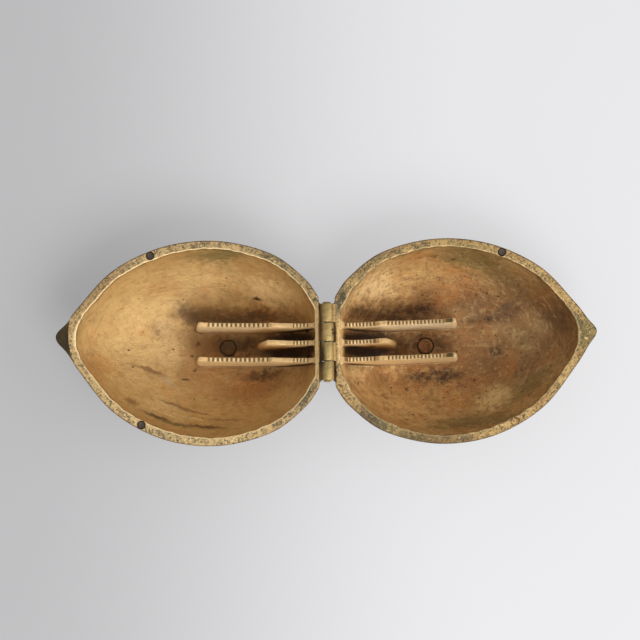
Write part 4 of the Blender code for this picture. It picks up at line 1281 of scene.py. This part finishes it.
def mark_coats(tree, place, marks, wander):
    """Ovals with ragged edges seen from above, as coats that are made one by one, when each is laid on."""
    cloud = add_node(tree, "ShaderNodeTexNoise", {"Vector": place, "Scale": 1 / MARK_GRAIN, "Detail": 4.0})
    centred = add_node(tree, "ShaderNodeVectorMath", {0: cloud.outputs["Color"], 1: (-0.5, -0.5, -0.5)},
        operation="ADD")
    for x, y, reach, breadth, turn, tint, strength in marks:
        drift = wander * min(1.0, breadth / RAGGED_BREADTH)
        ragged = add_node(tree, "ShaderNodeVectorMath", {0: centred, 1: (drift, drift, drift), 2: place},
            operation="MULTIPLY_ADD")
        own = add_node(tree, "ShaderNodeMapping", {"Vector": ragged, "Location": (x / 1000, y / 1000, 0),
            "Rotation": (0, 0, math.radians(turn)), "Scale": (reach / 1000, breadth / 1000, 1000)},
            vector_type="TEXTURE")
        far = add_node(tree, "ShaderNodeVectorMath", {0: own}, operation="LENGTH")
        yield tint, add_node(tree, "ShaderNodeMapRange", {"Value": far.outputs["Value"],
            "From Min": 1.15, "From Max": 0.25, "To Max": strength}, **SOFT)


def roughen(tree, shader, value, worn, amount, heights):
    """Roughness that varies with a share, and a bump from heights given as (share, metres)."""
    rough = add_node(tree, "ShaderNodeMapRange", {"Value": worn, "To Min": value, "To Max": value + amount})
    tree.links.new(rough.outputs[0], shader.inputs["Roughness"])
    below = None
    for share, metres in heights:
        inputs = {"Height": share, "Distance": abs(metres), "Strength": 1.0}
        if below is not None:
            inputs["Normal"] = below
        below = add_node(tree, "ShaderNodeBump", inputs, invert=metres < 0)
    tree.links.new(below.outputs[0], shader.inputs["Normal"])


def bowl_textures(tree, place, half):
    """What varies over a bowl's brass, from broad stretches, partly rubbed and partly painted light, down to
    strokes and pits, as shares; the channels between the rails carry painted shade.
    """
    seed = BOWL_SEED[half]
    side = SIDES[half]
    strength = STAIN_STRENGTH[half]
    near = around(tree, place, (side * 0.052, 0.0), (0.068, 0.042))
    shares = {name: patches(tree, place, size, low, high, seed + number, detail)
              for name, size, low, high, number, detail in BOWL_PATCHES}
    height = add_node(tree, "ShaderNodeSeparateXYZ", {0: place}).outputs["Z"]
    for name, low, high in (("band", 0.013, 0.002), ("edge", 0.006, 0.0015)):
        shares[name] = add_node(tree, "ShaderNodeMapRange", {
            "Value": height, "From Min": RIM_HEIGHT - low, "From Max": RIM_HEIGHT - high}, **SOFT)
    return SimpleNamespace(
        **shares, near=near,
        stained=add_node(tree, "ShaderNodeMapRange", {
            "Value": near, "To Min": 0.25 * strength, "To Max": strength}),
        # painted shade, with some soot, in the deep channels between the rails at the hinge
        channel=around(tree, place, (side * 0.020, 0.0), (0.031, 0.0105), core=0.50),
        # stretches painted lighter and browner: partly wear and oil, partly painted light and painted shade
        # on the walls
        worn=around(tree, place, *LIT_AND_RUBBED[half]),
        brown_and_shade=around(tree, place, *SHADED_AND_BROWNED[half]),
        drips=patches(tree, place, 0.008, 0.45, 0.70, seed + 4, stretch=(1.0, 0.35, 0.35)),
        streak=patches(tree, place, 0.0024, 0.50, 0.72, seed + 6, stretch=(0.16, 1.0, 1.0)),
        stroke=strokes(tree, place, side, seed + 11),
        dark_stroke=strokes(tree, place, side, seed + 12),
        pit=pits(tree, place, 0.0065, 0.00062, seed),
        small_pit=pits(tree, place, 0.0030, 0.00046, seed + 1),
    )


def lit_wall_coat(tree, place):
    """Painted light, in the colour of bare brass, on the sloped face of the right hinge wall where the rails
    meet it.
    """
    wall = around(tree, place, (0.0085, 0.0), (0.0052, 0.0190), core=0.60)
    height = add_node(tree, "ShaderNodeSeparateXYZ", {0: place}).outputs["Z"]
    top = add_node(tree, "ShaderNodeMapRange", {"Value": height, "From Min": RIM_HEIGHT - 0.017,
        "From Max": RIM_HEIGHT - 0.007}, **SOFT)
    return "rail", wall, top, 0.85


def bowl_brass(half, colours):
    """Sand cast brass, scraped by hand and never polished: matt gold with oil stains and pits.

    The eye sees golden stretches, partly rubbed and partly painted light, orange brown stains and soot
    round the rails with painted shade in the channels and painted shadows behind them, a greener band
    under the rim, single dark blotches, fine mottling, short scratches and small black pits.
    """
    material, tree, shader, place = new_material("cast brass, " + half + " bowl", 0.40)
    cast = bowl_textures(tree, place, half)
    stain_strength = STAIN_STRENGTH[half]
    fine = FINE_SHARE[half]
    skin = [
        ("brown_and_shade", cast.brown_and_shade, cast.brown_and_shade, SHADED_AND_BROWN_SHARE[half]),
        ("lit_and_rubbed", cast.light, cast.light, 0.30),
        ("lit_and_rubbed", cast.worn, cast.worn, LIT_AND_RUBBED_SHARE[half]),
        ("stain", cast.stain, cast.stained, 0.80),
        ("olive", cast.band, cast.drips, 0.80),
        ("stain", cast.mottle, cast.stained, 0.60),
        ("orange", cast.redder, cast.redder, 0.44 * stain_strength),
        ("olive", cast.greener, cast.greener, 0.26 * stain_strength),
    ]
    films = [
        ("shade_and_grime", cast.soot_and_shade, cast.near, 0.55 * stain_strength),
        ("stain", cast.fine_mottle, cast.stained, 0.50),
        ("brown_and_shade", cast.fine_mottle, cast.fine_mottle, 0.26 * fine),
        ("shade_and_grime", cast.grime, cast.grime, GRIME_SHARE[half]),
        ("lit_and_rubbed", cast.glint, cast.glint, 0.12 * fine),
        ("lit_and_rubbed", cast.streak, cast.light, 0.25),
        ("lit_and_rubbed", cast.stroke, cast.stroke, 0.15 * fine),
        ("brown_and_shade", cast.dark_stroke, cast.dark_stroke, 0.30 * fine),
        ("shade_and_grime", cast.edge, cast.edge, 0.40),
        ("stain", cast.speck, cast.stained, 0.45),
        ("soot_and_shade", cast.small_pit, cast.small_pit, PIT_SHARE[half]),
        ("soot_and_shade", cast.pit, cast.pit, 1.1 * PIT_SHARE[half]),
        # painted shade in the channels between the rails
        ("soot_and_shade", cast.channel, cast.channel, CHANNEL_SHARE[half]),
    ]
    # painted light on the lit face of the right hinge wall
    if half == "right":
        films.append(lit_wall_coat(tree, place))
    marks = mark_coats(tree, place, BOWL_MARKS[half], MARK_WANDER)
    paint(tree, shader, colours, half + "_bowl", skin, marks, films)
    # The casting sand's grain is some 0.4 mm wide, and is drawn 1.1 mm wide so that it shows
    grain = add_node(tree, "ShaderNodeTexNoise", {"Vector": place, "Scale": 1 / 0.0011, "Detail": 2.0})
    scrape = patches(tree, place, 0.0055, 0.30, 0.75, BOWL_SEED[half] + 7, stretch=(0.5, 1.0, 1.0))
    roughen(tree, shader, 0.58, cast.mottle, 0.14, [
        (grain, 0.00022), (cast.glint, 0.00012), (scrape, 0.00034), (cast.stroke, 0.00009),
        (cast.small_pit, -0.00020), (cast.pit, -0.00040)])
    return material


def rim_zones(tree, place):
    """Stretches of the rim as shares: over its breadth, and near the hinge."""
    share = add_node(tree, "ShaderNodeAttribute", attribute_name="rim_share").outputs["Fac"]
    across = add_node(tree, "ShaderNodeSeparateXYZ", {0: place})
    zones = {}
    for name, low, high, fade in (("bright", 0.79, 0.91, {}), ("middle", 0.02, 0.30, SOFT),
                                  ("outer", 0.30, 0.12, SOFT), ("lip", 0.06, 0.0, SOFT)):
        zones[name] = add_node(tree, "ShaderNodeMapRange", {
            "Value": share, "From Min": low, "From Max": high}, **fade)
    return SimpleNamespace(
        **zones,
        left_line=add_node(tree, "ShaderNodeMapRange", {
            "Value": across, "From Min": 0.002, "From Max": 0.0, "To Min": 0.34}),
        near=around(tree, place, (0.0, 0.0), (0.165, 0.20)),
        strip=around(tree, place, (-0.0058, 0.0), (0.0034, 0.0226), core=0.85),
        joint=around(tree, place, (0.0085, 0.0), (0.0034, 0.0185), core=0.55),
    )


def rim_brass(colours):
    """Filed brass with old patina: tan gold and grainy, grey green in the dips, bright on its inner edge
    partly from wear and partly as a painted highlight, with painted shade along its outer edge.
    """
    material, tree, shader, place = new_material("filed brass rim", 0.45)
    zone = rim_zones(tree, place)
    patina = patches(tree, place, 0.0060, 0.44, 0.60, 11.0, detail=8.0)
    cloud = patches(tree, place, 0.024, 0.40, 0.60, 12.0)
    speck = patches(tree, place, 0.0011, 0.50, 0.62, 13.0, detail=4.0)
    grain = patches(tree, place, 0.0018, 0.40, 0.64, 17.0, detail=5.0)
    pale = patches(tree, place, 0.0013, 0.54, 0.68, 18.0, detail=4.0)
    copper = patches(tree, place, 0.013, 0.45, 0.65, 14.0)
    breaks = patches(tree, place, 0.010, 0.30, 0.45, 15.0)
    blotch = product(tree, product(tree, patina, cloud, 1.4), zone.near, 1.5)
    filed = [
        ("stain", copper, copper, 0.32),
        ("stain", zone.outer, zone.outer, 0.18),
    ]
    films = [
        ("patina", blotch, zone.middle, 0.55),
        ("dirt_and_shade", grain, grain, 0.50),
        ("patina", speck, speck, 0.85),
        ("rim_pale_and_highlight", pale, pale, 0.50),
        # painted shade along the rim's rounded outer edge
        ("soot_and_shade", zone.lip, zone.lip, 0.55),
        ("rim", zone.strip, zone.strip, 0.80),
        # painted light on the top of the right hinge wall, where it meets the rails
        ("rail", zone.joint, zone.joint, 0.60),
        # the rim's inner edge: partly worn bright, partly a painted highlight, stronger on the left half,
        # where it catches the light
        ("rim_pale_and_highlight", product(tree, zone.bright, breaks), zone.left_line),
    ]
    marks = mark_coats(tree, place, RIM_MARKS, MARK_WANDER)
    paint(tree, shader, colours, "rim", filed, marks, films)
    # Marks of a file lie about 0.5 mm apart, and are drawn 2 mm apart so that they show
    file_marks = patches(tree, place, 0.0022, 0.35, 0.70, 16.0, stretch=(1.0, 0.3, 1.0))
    roughen(tree, shader, 0.42, patina, 0.20, [(file_marks, 0.00010), (speck, -0.00014), (patina, -0.00014)])
    return material


def outside_brass(colours):
    """Cast brass left dark by handling: oil and patina in the furrows, olive gold on the highs."""
    material, tree, shader, place = new_material("patinated cast brass", 0.60)
    groove = add_node(tree, "ShaderNodeAttribute", attribute_name="groove").outputs["Fac"]
    cloud = patches(tree, place, 0.020, 0.38, 0.62, 21.0)
    speck = patches(tree, place, 0.0020, 0.50, 0.66, 22.0)
    rub = patches(tree, place, 0.035, 0.45, 0.65, 23.0)
    furrow = add_node(tree, "ShaderNodeMapRange", {"Value": groove, "From Min": 0.05, "From Max": 0.65})
    nub = around(tree, place, (-0.158, 0.002), (0.014, 0.022), core=0.5)
    paint(tree, shader, colours, "outside", [
        ("left_bowl", rub, rub, 0.45),
        ("patina", cloud, cloud, 0.70),
        ("patina", speck, cloud, 0.60),
        ("outside_dark", furrow),
        # the lowered left tip is darker: partly patina, partly painted shade
        ("outside_dark", nub, nub, 0.72),
    ])
    # The same grain of the sand as in the bowls, drawn 1 mm wide so that it shows
    grain = add_node(tree, "ShaderNodeTexNoise", {"Vector": place, "Scale": 1 / 0.0010, "Detail": 3.0})
    roughen(tree, shader, 0.36, furrow, 0.28, [(grain, 0.00012), (speck, -0.00010)])
    return material


def rail_zones(tree, place):
    """Stretches of the rails as shares: by height and by distance, and the lit and dark places."""
    height, tooth, root = [add_node(tree, "ShaderNodeAttribute", attribute_name=name).outputs["Fac"]
                           for name in ("height_share", "tooth", "root")]
    mirrored = add_node(tree, "ShaderNodeVectorMath", {0: place}, operation="ABSOLUTE")
    distance = add_node(tree, "ShaderNodeSeparateXYZ", {0: mirrored})
    across = add_node(tree, "ShaderNodeSeparateXYZ", {0: place})
    # painted shade, with some soot, climbs higher up the flanks towards the hinge, where the channels lie in
    # shade
    climb = add_node(tree, "ShaderNodeMapRange", {
        "Value": distance, "From Min": 0.050, "From Max": 0.012, "To Min": -0.55, "To Max": 0.50})
    wave = patches(tree, place, 0.007, 0.30, 0.70, 34.0, detail=5.0)
    raised = add_node(tree, "ShaderNodeMath", {0: wave, 1: 0.22, 2: climb}, operation="MULTIPLY_ADD")
    ragged = add_node(tree, "ShaderNodeMath", {0: raised, 1: height}, operation="SUBTRACT")
    left_side = add_node(tree, "ShaderNodeMath", {0: across, 1: 0.0}, operation="LESS_THAN")
    zones = {}
    for name, value, low, high, fade in (
            ("foot", height, 0.30, 0.06, SOFT), ("fillet", height, 0.08, 0.02, {}),
            ("flank", height, 1.0, 0.97, {}), ("slope", root, 0.90, 0.98, {}),
            ("end", distance, 0.0735, 0.0760, {}), ("sooty", ragged, -0.26, 0.40, SOFT),
            ("beyond", across, 0.0095, 0.0140, SOFT), ("right_teeth", across, 0.010, 0.040, {})):
        zones[name] = add_node(tree, "ShaderNodeMapRange", {
            "Value": value, "From Min": low, "From Max": high}, **fade)
    return SimpleNamespace(
        **zones, tooth=tooth, root=root, wave=wave,
        clear=add_node(tree, "ShaderNodeMath", {0: left_side, 1: zones["beyond"]}, operation="MAXIMUM"),
        lit=around(tree, place, (0.048, 0.0088), (0.036, 0.0064), core=0.6),
        left_lit=around(tree, place, (-0.052, 0.0088), (0.040, 0.0064), core=0.6),
        near_dark=around(tree, place, (0.0, 0.0), (0.085, 0.040), core=0.75),
    )


def rail_brass(colours):
    """Cast brass filed to shape and rubbed by nutshells: pale on teeth and edges, stained at the foot, with
    painted light on the flanks and painted shade on the fillets, in the channels and on the seats' slopes.
    """
    material, tree, shader, place = new_material("worn brass rail", 0.34)
    zone = rail_zones(tree, place)
    mottle = patches(tree, place, 0.006, 0.40, 0.66, 31.0, detail=5.0)
    grain = patches(tree, place, 0.0016, 0.42, 0.68, 35.0, detail=3.0)
    speck = patches(tree, place, 0.0014, 0.56, 0.68, 33.0, detail=1.0)
    paint(tree, shader, colours, "rail_top", [
        # flanks painted paler than the tops: partly filed brass, partly painted light from the lamps in front
        ("lit_and_filed_flank", zone.flank, zone.flank, 0.95),
        ("stain", mottle, mottle, 0.24),
        ("stain", grain, grain, 0.16),
        # painted light on the front flanks of the rear rails, which face the lamps
        ("rail_lit", zone.lit, zone.flank, 0.92),
        ("rail_lit", zone.left_lit, zone.flank, 0.42),
        # darker foot: partly stain, partly painted shade
        ("brown_and_shade", zone.foot, zone.foot, 0.36),
        # painted shade on the fillets at the rails' feet, which dims the light that they catch
        ("stain", zone.fillet, zone.near_dark, 0.60),
        ("brown_and_shade", zone.fillet, zone.fillet, 0.45),
        ("shade_and_grime", zone.fillet, zone.end, 0.60),
        # painted shade, with some soot, in the deep channels near the hinge
        ("soot_and_shade", zone.sooty, zone.clear, 0.92),
        # dirt and painted shade between the teeth, and painted shade on the seats' slopes
        ("dirt_and_shade", zone.root, zone.root, 0.96),
        # painted shade on the seats' slopes that face away from the light
        ("olive", zone.slope, zone.wave, 0.60),
        ("rail_worn", zone.tooth, zone.tooth, 0.85),
        ("brown_and_shade", zone.tooth, zone.right_teeth, 0.34),
        ("stain", speck, speck, 0.45),
    ])
    # A fine file's marks, under 0.5 mm apart, are drawn 1.2 mm apart so that they show
    bumps = add_node(tree, "ShaderNodeTexNoise", {"Vector": place, "Scale": 1 / 0.0012, "Detail": 2.0})
    roughen(tree, shader, 0.42, mottle, 0.15, [(bumps, 0.00010), (mottle, 0.00018)])
    return material


def knuckle_brass(colours):
    """Turned brass of the hinge with an olive patina: smooth, faint lines round it, a few dark nicks, painted
    light on the barrels' right side and painted shade on their left side.
    """
    material, tree, shader, place = new_material("turned olive brass", 0.60)
    # Turned lines lie about 0.2 mm apart, and are drawn 1.1 mm apart so that they show
    lines = patches(tree, place, 0.0011, 0.40, 0.68, 41.0, stretch=(0.2, 1.0, 0.2))
    cloud = patches(tree, place, 0.006, 0.40, 0.65, 42.0)
    speck = patches(tree, place, 0.0010, 0.58, 0.70, 43.0, detail=1.0)
    across = add_node(tree, "ShaderNodeSeparateXYZ", {0: place})
    # painted light on the barrels' right side (towards +X) and painted shade on their left side
    lit_and_rubbed, shaded_side = [add_node(tree, "ShaderNodeMapRange", {
        "Value": across, "From Min": low, "From Max": high}, **SOFT)
        for low, high in ((-0.0005, 0.0028), (0.0002, -0.0040))]
    turned = [
        ("rim", cloud, cloud, 0.45),
        ("rim", lit_and_rubbed, lit_and_rubbed, 0.55),
        ("patina", lines, lines, 0.34),
        ("shade_and_grime", shaded_side, shaded_side, 0.80),
    ]
    marks = mark_coats(tree, place, KNUCKLE_MARKS, KNUCKLE_WANDER)
    paint(tree, shader, colours, "knuckle", turned, marks, [("patina", speck, speck, 0.60)])
    roughen(tree, shader, 0.42, cloud, 0.14, [(lines, 0.00004), (speck, -0.00006)])
    return material


def plug_brass(name, colours, base, seed, joint):
    """A brass plug hammered and filed flush: duller than its bowl, with more or less dirt in its joint."""
    material, tree, shader, place = new_material(name, 0.45)
    dirt = add_node(tree, "ShaderNodeAttribute", attribute_name="dirt").outputs["Fac"]
    cloud = patches(tree, place, 0.004, 0.40, 0.65, seed)
    speck = patches(tree, place, 0.0012, 0.52, 0.66, seed + 1, detail=1.0)
    film = patches(tree, place, 0.0034, 0.44, 0.62, seed + 2, detail=5.0)
    paint(tree, shader, colours, base, [
        ("stain", cloud, cloud, 0.50),
        ("shade_and_grime", film, film, 0.60),
        ("soot_and_shade", speck, speck, 0.65),
        ("soot_and_shade", dirt, dirt, joint),
    ])
    roughen(tree, shader, 0.46, cloud, 0.18, [(cloud, 0.00015), (speck, -0.00008)])
    return material


def stud_steel(colours):
    """Dark oiled steel, dull and slightly rusty at the edge."""
    material, tree, shader, place = new_material("dark steel", 0.80)
    dirt = add_node(tree, "ShaderNodeAttribute", attribute_name="dirt").outputs["Fac"]
    cloud = patches(tree, place, 0.0022, 0.40, 0.65, 61.0)
    paint(tree, shader, colours, "stud", [
        ("patina", cloud, cloud, 0.60),
        ("soot_and_shade", dirt, dirt, 1.0),
    ])
    roughen(tree, shader, 0.45, cloud, 0.20, [(cloud, 0.00010)])
    return material


def make_pin(hinge, material):
    """The pin through the barrels, with a low domed head at each end."""
    end = PIN_HIGH.y
    seat = KNUCKLE_HIGH.y + PLUG_GAP
    half = [(PIN_HIGH.x * reach, seat + (end - seat) * rise, 0.0) for reach, rise in PIN_DOME]
    half.append((hinge.pin_radius, seat, 0.0))
    mirrored = [(radius, -position, share) for radius, position, share in half[::-1]]
    return turned_piece("pin", half + mirrored, HINGE_AXIS, (0, 1, 0), material)


def make_plug(node, crown, collar, material):
    """A round plug or stud with a crowned or a dished face, from its node's own box.

    A collar of dirt fills the joint round it, from its foot up to a given depth under its face.
    """
    low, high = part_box(node)
    radius = (high.x - low.x) / 2
    edge = PLUG_EDGE * radius
    middle = PLUG_EDGE_MIDDLE * edge
    filled = radius + COLLAR_REACH * PLUG_GAP
    profile = [(filled, low.z, 1.0), (filled, high.z - collar, 1.0), (radius, high.z - collar, 1.0),
               (radius, high.z - edge, 1.0), (radius - middle, high.z - middle, 1.0),
               (radius - edge, high.z, 0.9)]
    for share, dirt in PLUG_RINGS:
        profile.append((radius * share, high.z + crown * (1 - share * share), dirt))
    centre = ((low.x + high.x) / 2, (low.y + high.y) / 2, 0)
    return turned_piece(node, profile, centre, (0, 0, 1), material)


class NUTCRACKER_OT_shells(bpy.types.Operator):
    """Build the two half shells."""
    bl_idname = "nutcracker.build_shells"
    bl_label = "Half shells"

    def execute(self, context):
        sizes = context.scene.nutcracker_shells
        colours = context.scene.nutcracker_colours
        relief = relief_tree()
        outside = outside_brass(colours)
        rim = rim_brass(colours)
        for half in SIDES:
            shell = shell_blank(half, sizes, outside)
            cutter = cut_shell(shell, half, sizes)
            add_tree(shell, relief, {
                "Groove Depth": sizes.groove_depth, "Groove Spacing": sizes.groove_spacing,
                "Unevenness": sizes.bowl_unevenness, "Seed": RELIEF_SEED[half],
                "Outside": outside, "Rim": rim, "Inside": bowl_brass(half, colours),
            })
            settle(shell, SHELL_SHARP)
            bpy.data.objects.remove(cutter)
            hand_in(shell, half + "_half", "cast_brass", half + "_shell")
        return {"FINISHED"}


class NUTCRACKER_OT_rails(bpy.types.Operator):
    """Build the six toothed rails on the floors of the shells."""
    bl_idname = "nutcracker.build_rails"
    bl_label = "Rails"

    def execute(self, context):
        sizes = context.scene.nutcracker_shells
        rails = context.scene.nutcracker_rails
        material = rail_brass(context.scene.nutcracker_colours)
        teeth = teeth_tree()
        seed = 1
        for half in SIDES:
            shell = bpy.data.objects[half + "_half_shell"].data
            corners = [vertex.co for vertex in shell.vertices]
            surface = BVHTree.FromPolygons(corners, [face.vertices for face in shell.polygons])
            wall = sizes.back_face + getattr(sizes, half + "_hinge_wall")
            for place, root_y in (("rear", rails.spacing), ("middle", 0), ("front", -rails.spacing)):
                is_long = place != "middle"
                foot_end = rails.long_end + rails.long_foot if is_long else rails.middle_foot
                top_end = rails.long_end if is_long else rails.middle_top_end
                rail = Rail(half, is_long, wall, root_y, foot_end, top_end)
                blade = rail_blade(half + "_" + place + "_toothed_rail", rail, rails, surface, material)
                add_teeth(blade, rail, rails, teeth, material, seed)
                settle(blade, RAIL_SHARP)
                hand_in(blade, half + "_half", "rail_brass", half + "_" + place + "_rail")
                seed += 2
        return {"FINISHED"}


class NUTCRACKER_OT_plugs(bpy.types.Operator):
    """Build the plugs in the floors and the studs in the rims."""
    bl_idname = "nutcracker.build_plugs"
    bl_label = "Plugs and studs"

    def execute(self, context):
        colours = context.scene.nutcracker_colours
        plugs = {"right": plug_brass("dull brass plug", colours, "plug", 51.0, 1.0),
                 "left": plug_brass("oily brass plug", colours, "oily_plug", 52.0, 0.35)}
        brass_stud = plug_brass("brass stud", colours, "rim", 55.0, 0.45)
        steel = stud_steel(colours)
        for half in SIDES:
            node = half + "_floor_plug"
            made = make_plug(node, PLUG_CROWN, PLUG_COLLAR[half], plugs[half])
            hand_in(made, half + "_half", "plug_brass", node)
            for place in ("rear", "front"):
                node = half + "_" + place + "_rim_stud"
                material = brass_stud if (half, place) == BRASS_STUD else steel
                made = make_plug(node, STUD_DISH, STUD_COLLAR, material)
                hand_in(made, half + "_half", "stud_steel", node)
        return {"FINISHED"}


class NUTCRACKER_OT_hinge(bpy.types.Operator):
    """Build the four barrels of the hinge and its pin."""
    bl_idname = "nutcracker.build_hinge"
    bl_label = "Hinge"

    def execute(self, context):
        sizes = context.scene.nutcracker_shells
        hinge = context.scene.nutcracker_hinge
        material = knuckle_brass(context.scene.nutcracker_colours)
        for number, half in KNUCKLES.items():
            barrel = make_knuckle(number, hinge, sizes.back_face, material)
            hand_in(barrel, half + "_half", "hinge_brass", "hinge_knuckle_" + str(number))
        hand_in(make_pin(hinge, material), "right_half", "hinge_brass", "hinge_pin")
        return {"FINISHED"}


def soft_light(name, place, size, power):
    """A square area light that faces the middle of the object."""
    light = bpy.data.lights.new(name, "AREA")
    light.shape = "SQUARE"
    light.size = size
    light.energy = power
    lamp = bpy.data.objects.new(name, light)
    lamp.location = place
    lamp.rotation_mode = "QUATERNION"
    lamp.rotation_quaternion = (-Vector(place)).to_track_quat("-Z", "Y")
    bpy.context.scene.collection.objects.link(lamp)


def place_camera():
    """The camera above the middle, slanted a little from the front."""
    camera = bpy.data.cameras.new("camera")
    camera.sensor_width = SENSOR_WIDTH
    camera.lens = CAMERA_LENS
    viewer = bpy.data.objects.new("camera", camera)
    target = Vector((*CAMERA_TARGET, RIM_HEIGHT))
    back = Vector((0, -math.sin(CAMERA_SLANT), math.cos(CAMERA_SLANT)))
    viewer.location = target + back * CAMERA_DISTANCE
    viewer.rotation_mode = "QUATERNION"
    roll = Quaternion((0, 0, 1), CAMERA_ROLL)
    viewer.rotation_quaternion = (-back).to_track_quat("-Z", "Y") @ roll
    bpy.context.scene.collection.objects.link(viewer)
    bpy.context.scene.camera = viewer


def plain_floor(colours):
    """A matt floor; a share of its own colour, for the camera and in reflections, lightens its shadows."""
    reach = FLOOR_REACH
    corners = [(-reach, -reach, 0), (reach, -reach, 0), (reach, reach, 0), (-reach, reach, 0)]
    floor = make_piece("floor", corners, [(0, 1, 2, 3)])
    material, tree, shader, place = new_material("matt pale floor", 0.0)
    shader.inputs["Base Color"].default_value = (*colours.floor, 1)
    shader.inputs["Roughness"].default_value = 0.7
    along = add_node(tree, "ShaderNodeSeparateXYZ", {0: place})
    # painted falloff of light: the floor's glow is dimmer to the left and brighter to the right
    fall = add_node(tree, "ShaderNodeMapRange", {"Value": along, "From Min": FLOOR_FALL[0],
        "From Max": FLOOR_FALL[1], "To Min": FLOOR_GLOW[0], "To Max": FLOOR_GLOW[1]}, **SOFT)
    glow = add_node(tree, "ShaderNodeEmission", {"Color": (*colours.floor, 1), "Strength": fall})
    ray = add_node(tree, "ShaderNodeLightPath").outputs
    seen = ray["Is Camera Ray"]
    for kind in ("Is Glossy Ray", "Is Transmission Ray"):
        seen = add_node(tree, "ShaderNodeMath", {0: seen, 1: ray[kind]}, operation="MAXIMUM")
    share = add_node(tree, "ShaderNodeMath", {0: seen, 1: FLOOR_SHARE}, operation="MULTIPLY")
    mixed = add_node(tree, "ShaderNodeMixShader", {0: share, 1: shader, 2: glow})
    tree.links.new(mixed.outputs[0], tree.nodes["Material Output"].inputs["Surface"])
    floor.data.materials.append(material)


class NUTCRACKER_OT_stage(bpy.types.Operator):
    """Set up the pale floor, the soft light and the camera."""
    bl_idname = "nutcracker.build_stage"
    bl_label = "Stage"

    def execute(self, context):
        plain_floor(context.scene.nutcracker_colours)
        for light in LIGHTS:
            soft_light(*light)
        world = bpy.data.worlds.new("pale room")
        world.use_nodes = True
        back = world.node_tree.nodes["Background"]
        back.inputs["Color"].default_value = (*hex_colour(WORLD_COLOUR), 1)
        back.inputs["Strength"].default_value = WORLD_STRENGTH
        context.scene.world = world
        context.scene.view_settings.view_transform = "Standard"
        place_camera()
        return {"FINISHED"}


OPERATORS = (NUTCRACKER_OT_shells, NUTCRACKER_OT_rails, NUTCRACKER_OT_plugs, NUTCRACKER_OT_hinge,
             NUTCRACKER_OT_stage)
GROUPS = {
    "nutcracker_shells": ShellSizes,
    "nutcracker_rails": RailSizes,
    "nutcracker_hinge": HingeSizes,
    "nutcracker_colours": FinishColours,
}


class NUTCRACKER_PT_parts(bpy.types.Panel):
    """Buttons for the nutcracker's parts, with their sizes and colours."""
    bl_idname = "NUTCRACKER_PT_parts"
    bl_label = "Nutcracker"
    bl_space_type = "VIEW_3D"
    bl_region_type = "UI"
    bl_category = "Nutcracker"

    def draw(self, context):
        for operator in OPERATORS:
            self.layout.operator(operator.bl_idname)
        for group in GROUPS:
            box = self.layout.box()
            settings = getattr(context.scene, group)
            for name in settings.bl_rna.properties.keys():
                if name not in ("rna_type", "name"):
                    box.prop(settings, name)


def register():
    for made in (*GROUPS.values(), *OPERATORS, NUTCRACKER_PT_parts):
        bpy.utils.register_class(made)
    for name, group in GROUPS.items():
        setattr(bpy.types.Scene, name, PointerProperty(type=group))


def unregister():
    for name in GROUPS:
        delattr(bpy.types.Scene, name)
    for made in (NUTCRACKER_PT_parts, *OPERATORS[::-1], *GROUPS.values()):
        bpy.utils.unregister_class(made)


def clear_scene():
    """Takes out what a new scene holds; the frame's own objects stay."""
    kept = set(frame["nodes"].values()) | set(frame["bodies"].values())
    for left_over in set(bpy.data.objects) - kept:
        bpy.data.objects.remove(left_over)


def main():
    register()
    clear_scene()
    bpy.ops.nutcracker.build_shells()
    bpy.ops.nutcracker.build_rails()
    bpy.ops.nutcracker.build_plugs()
    bpy.ops.nutcracker.build_hinge()
    bpy.ops.nutcracker.build_stage()


if __name__ == "__main__":
    main()
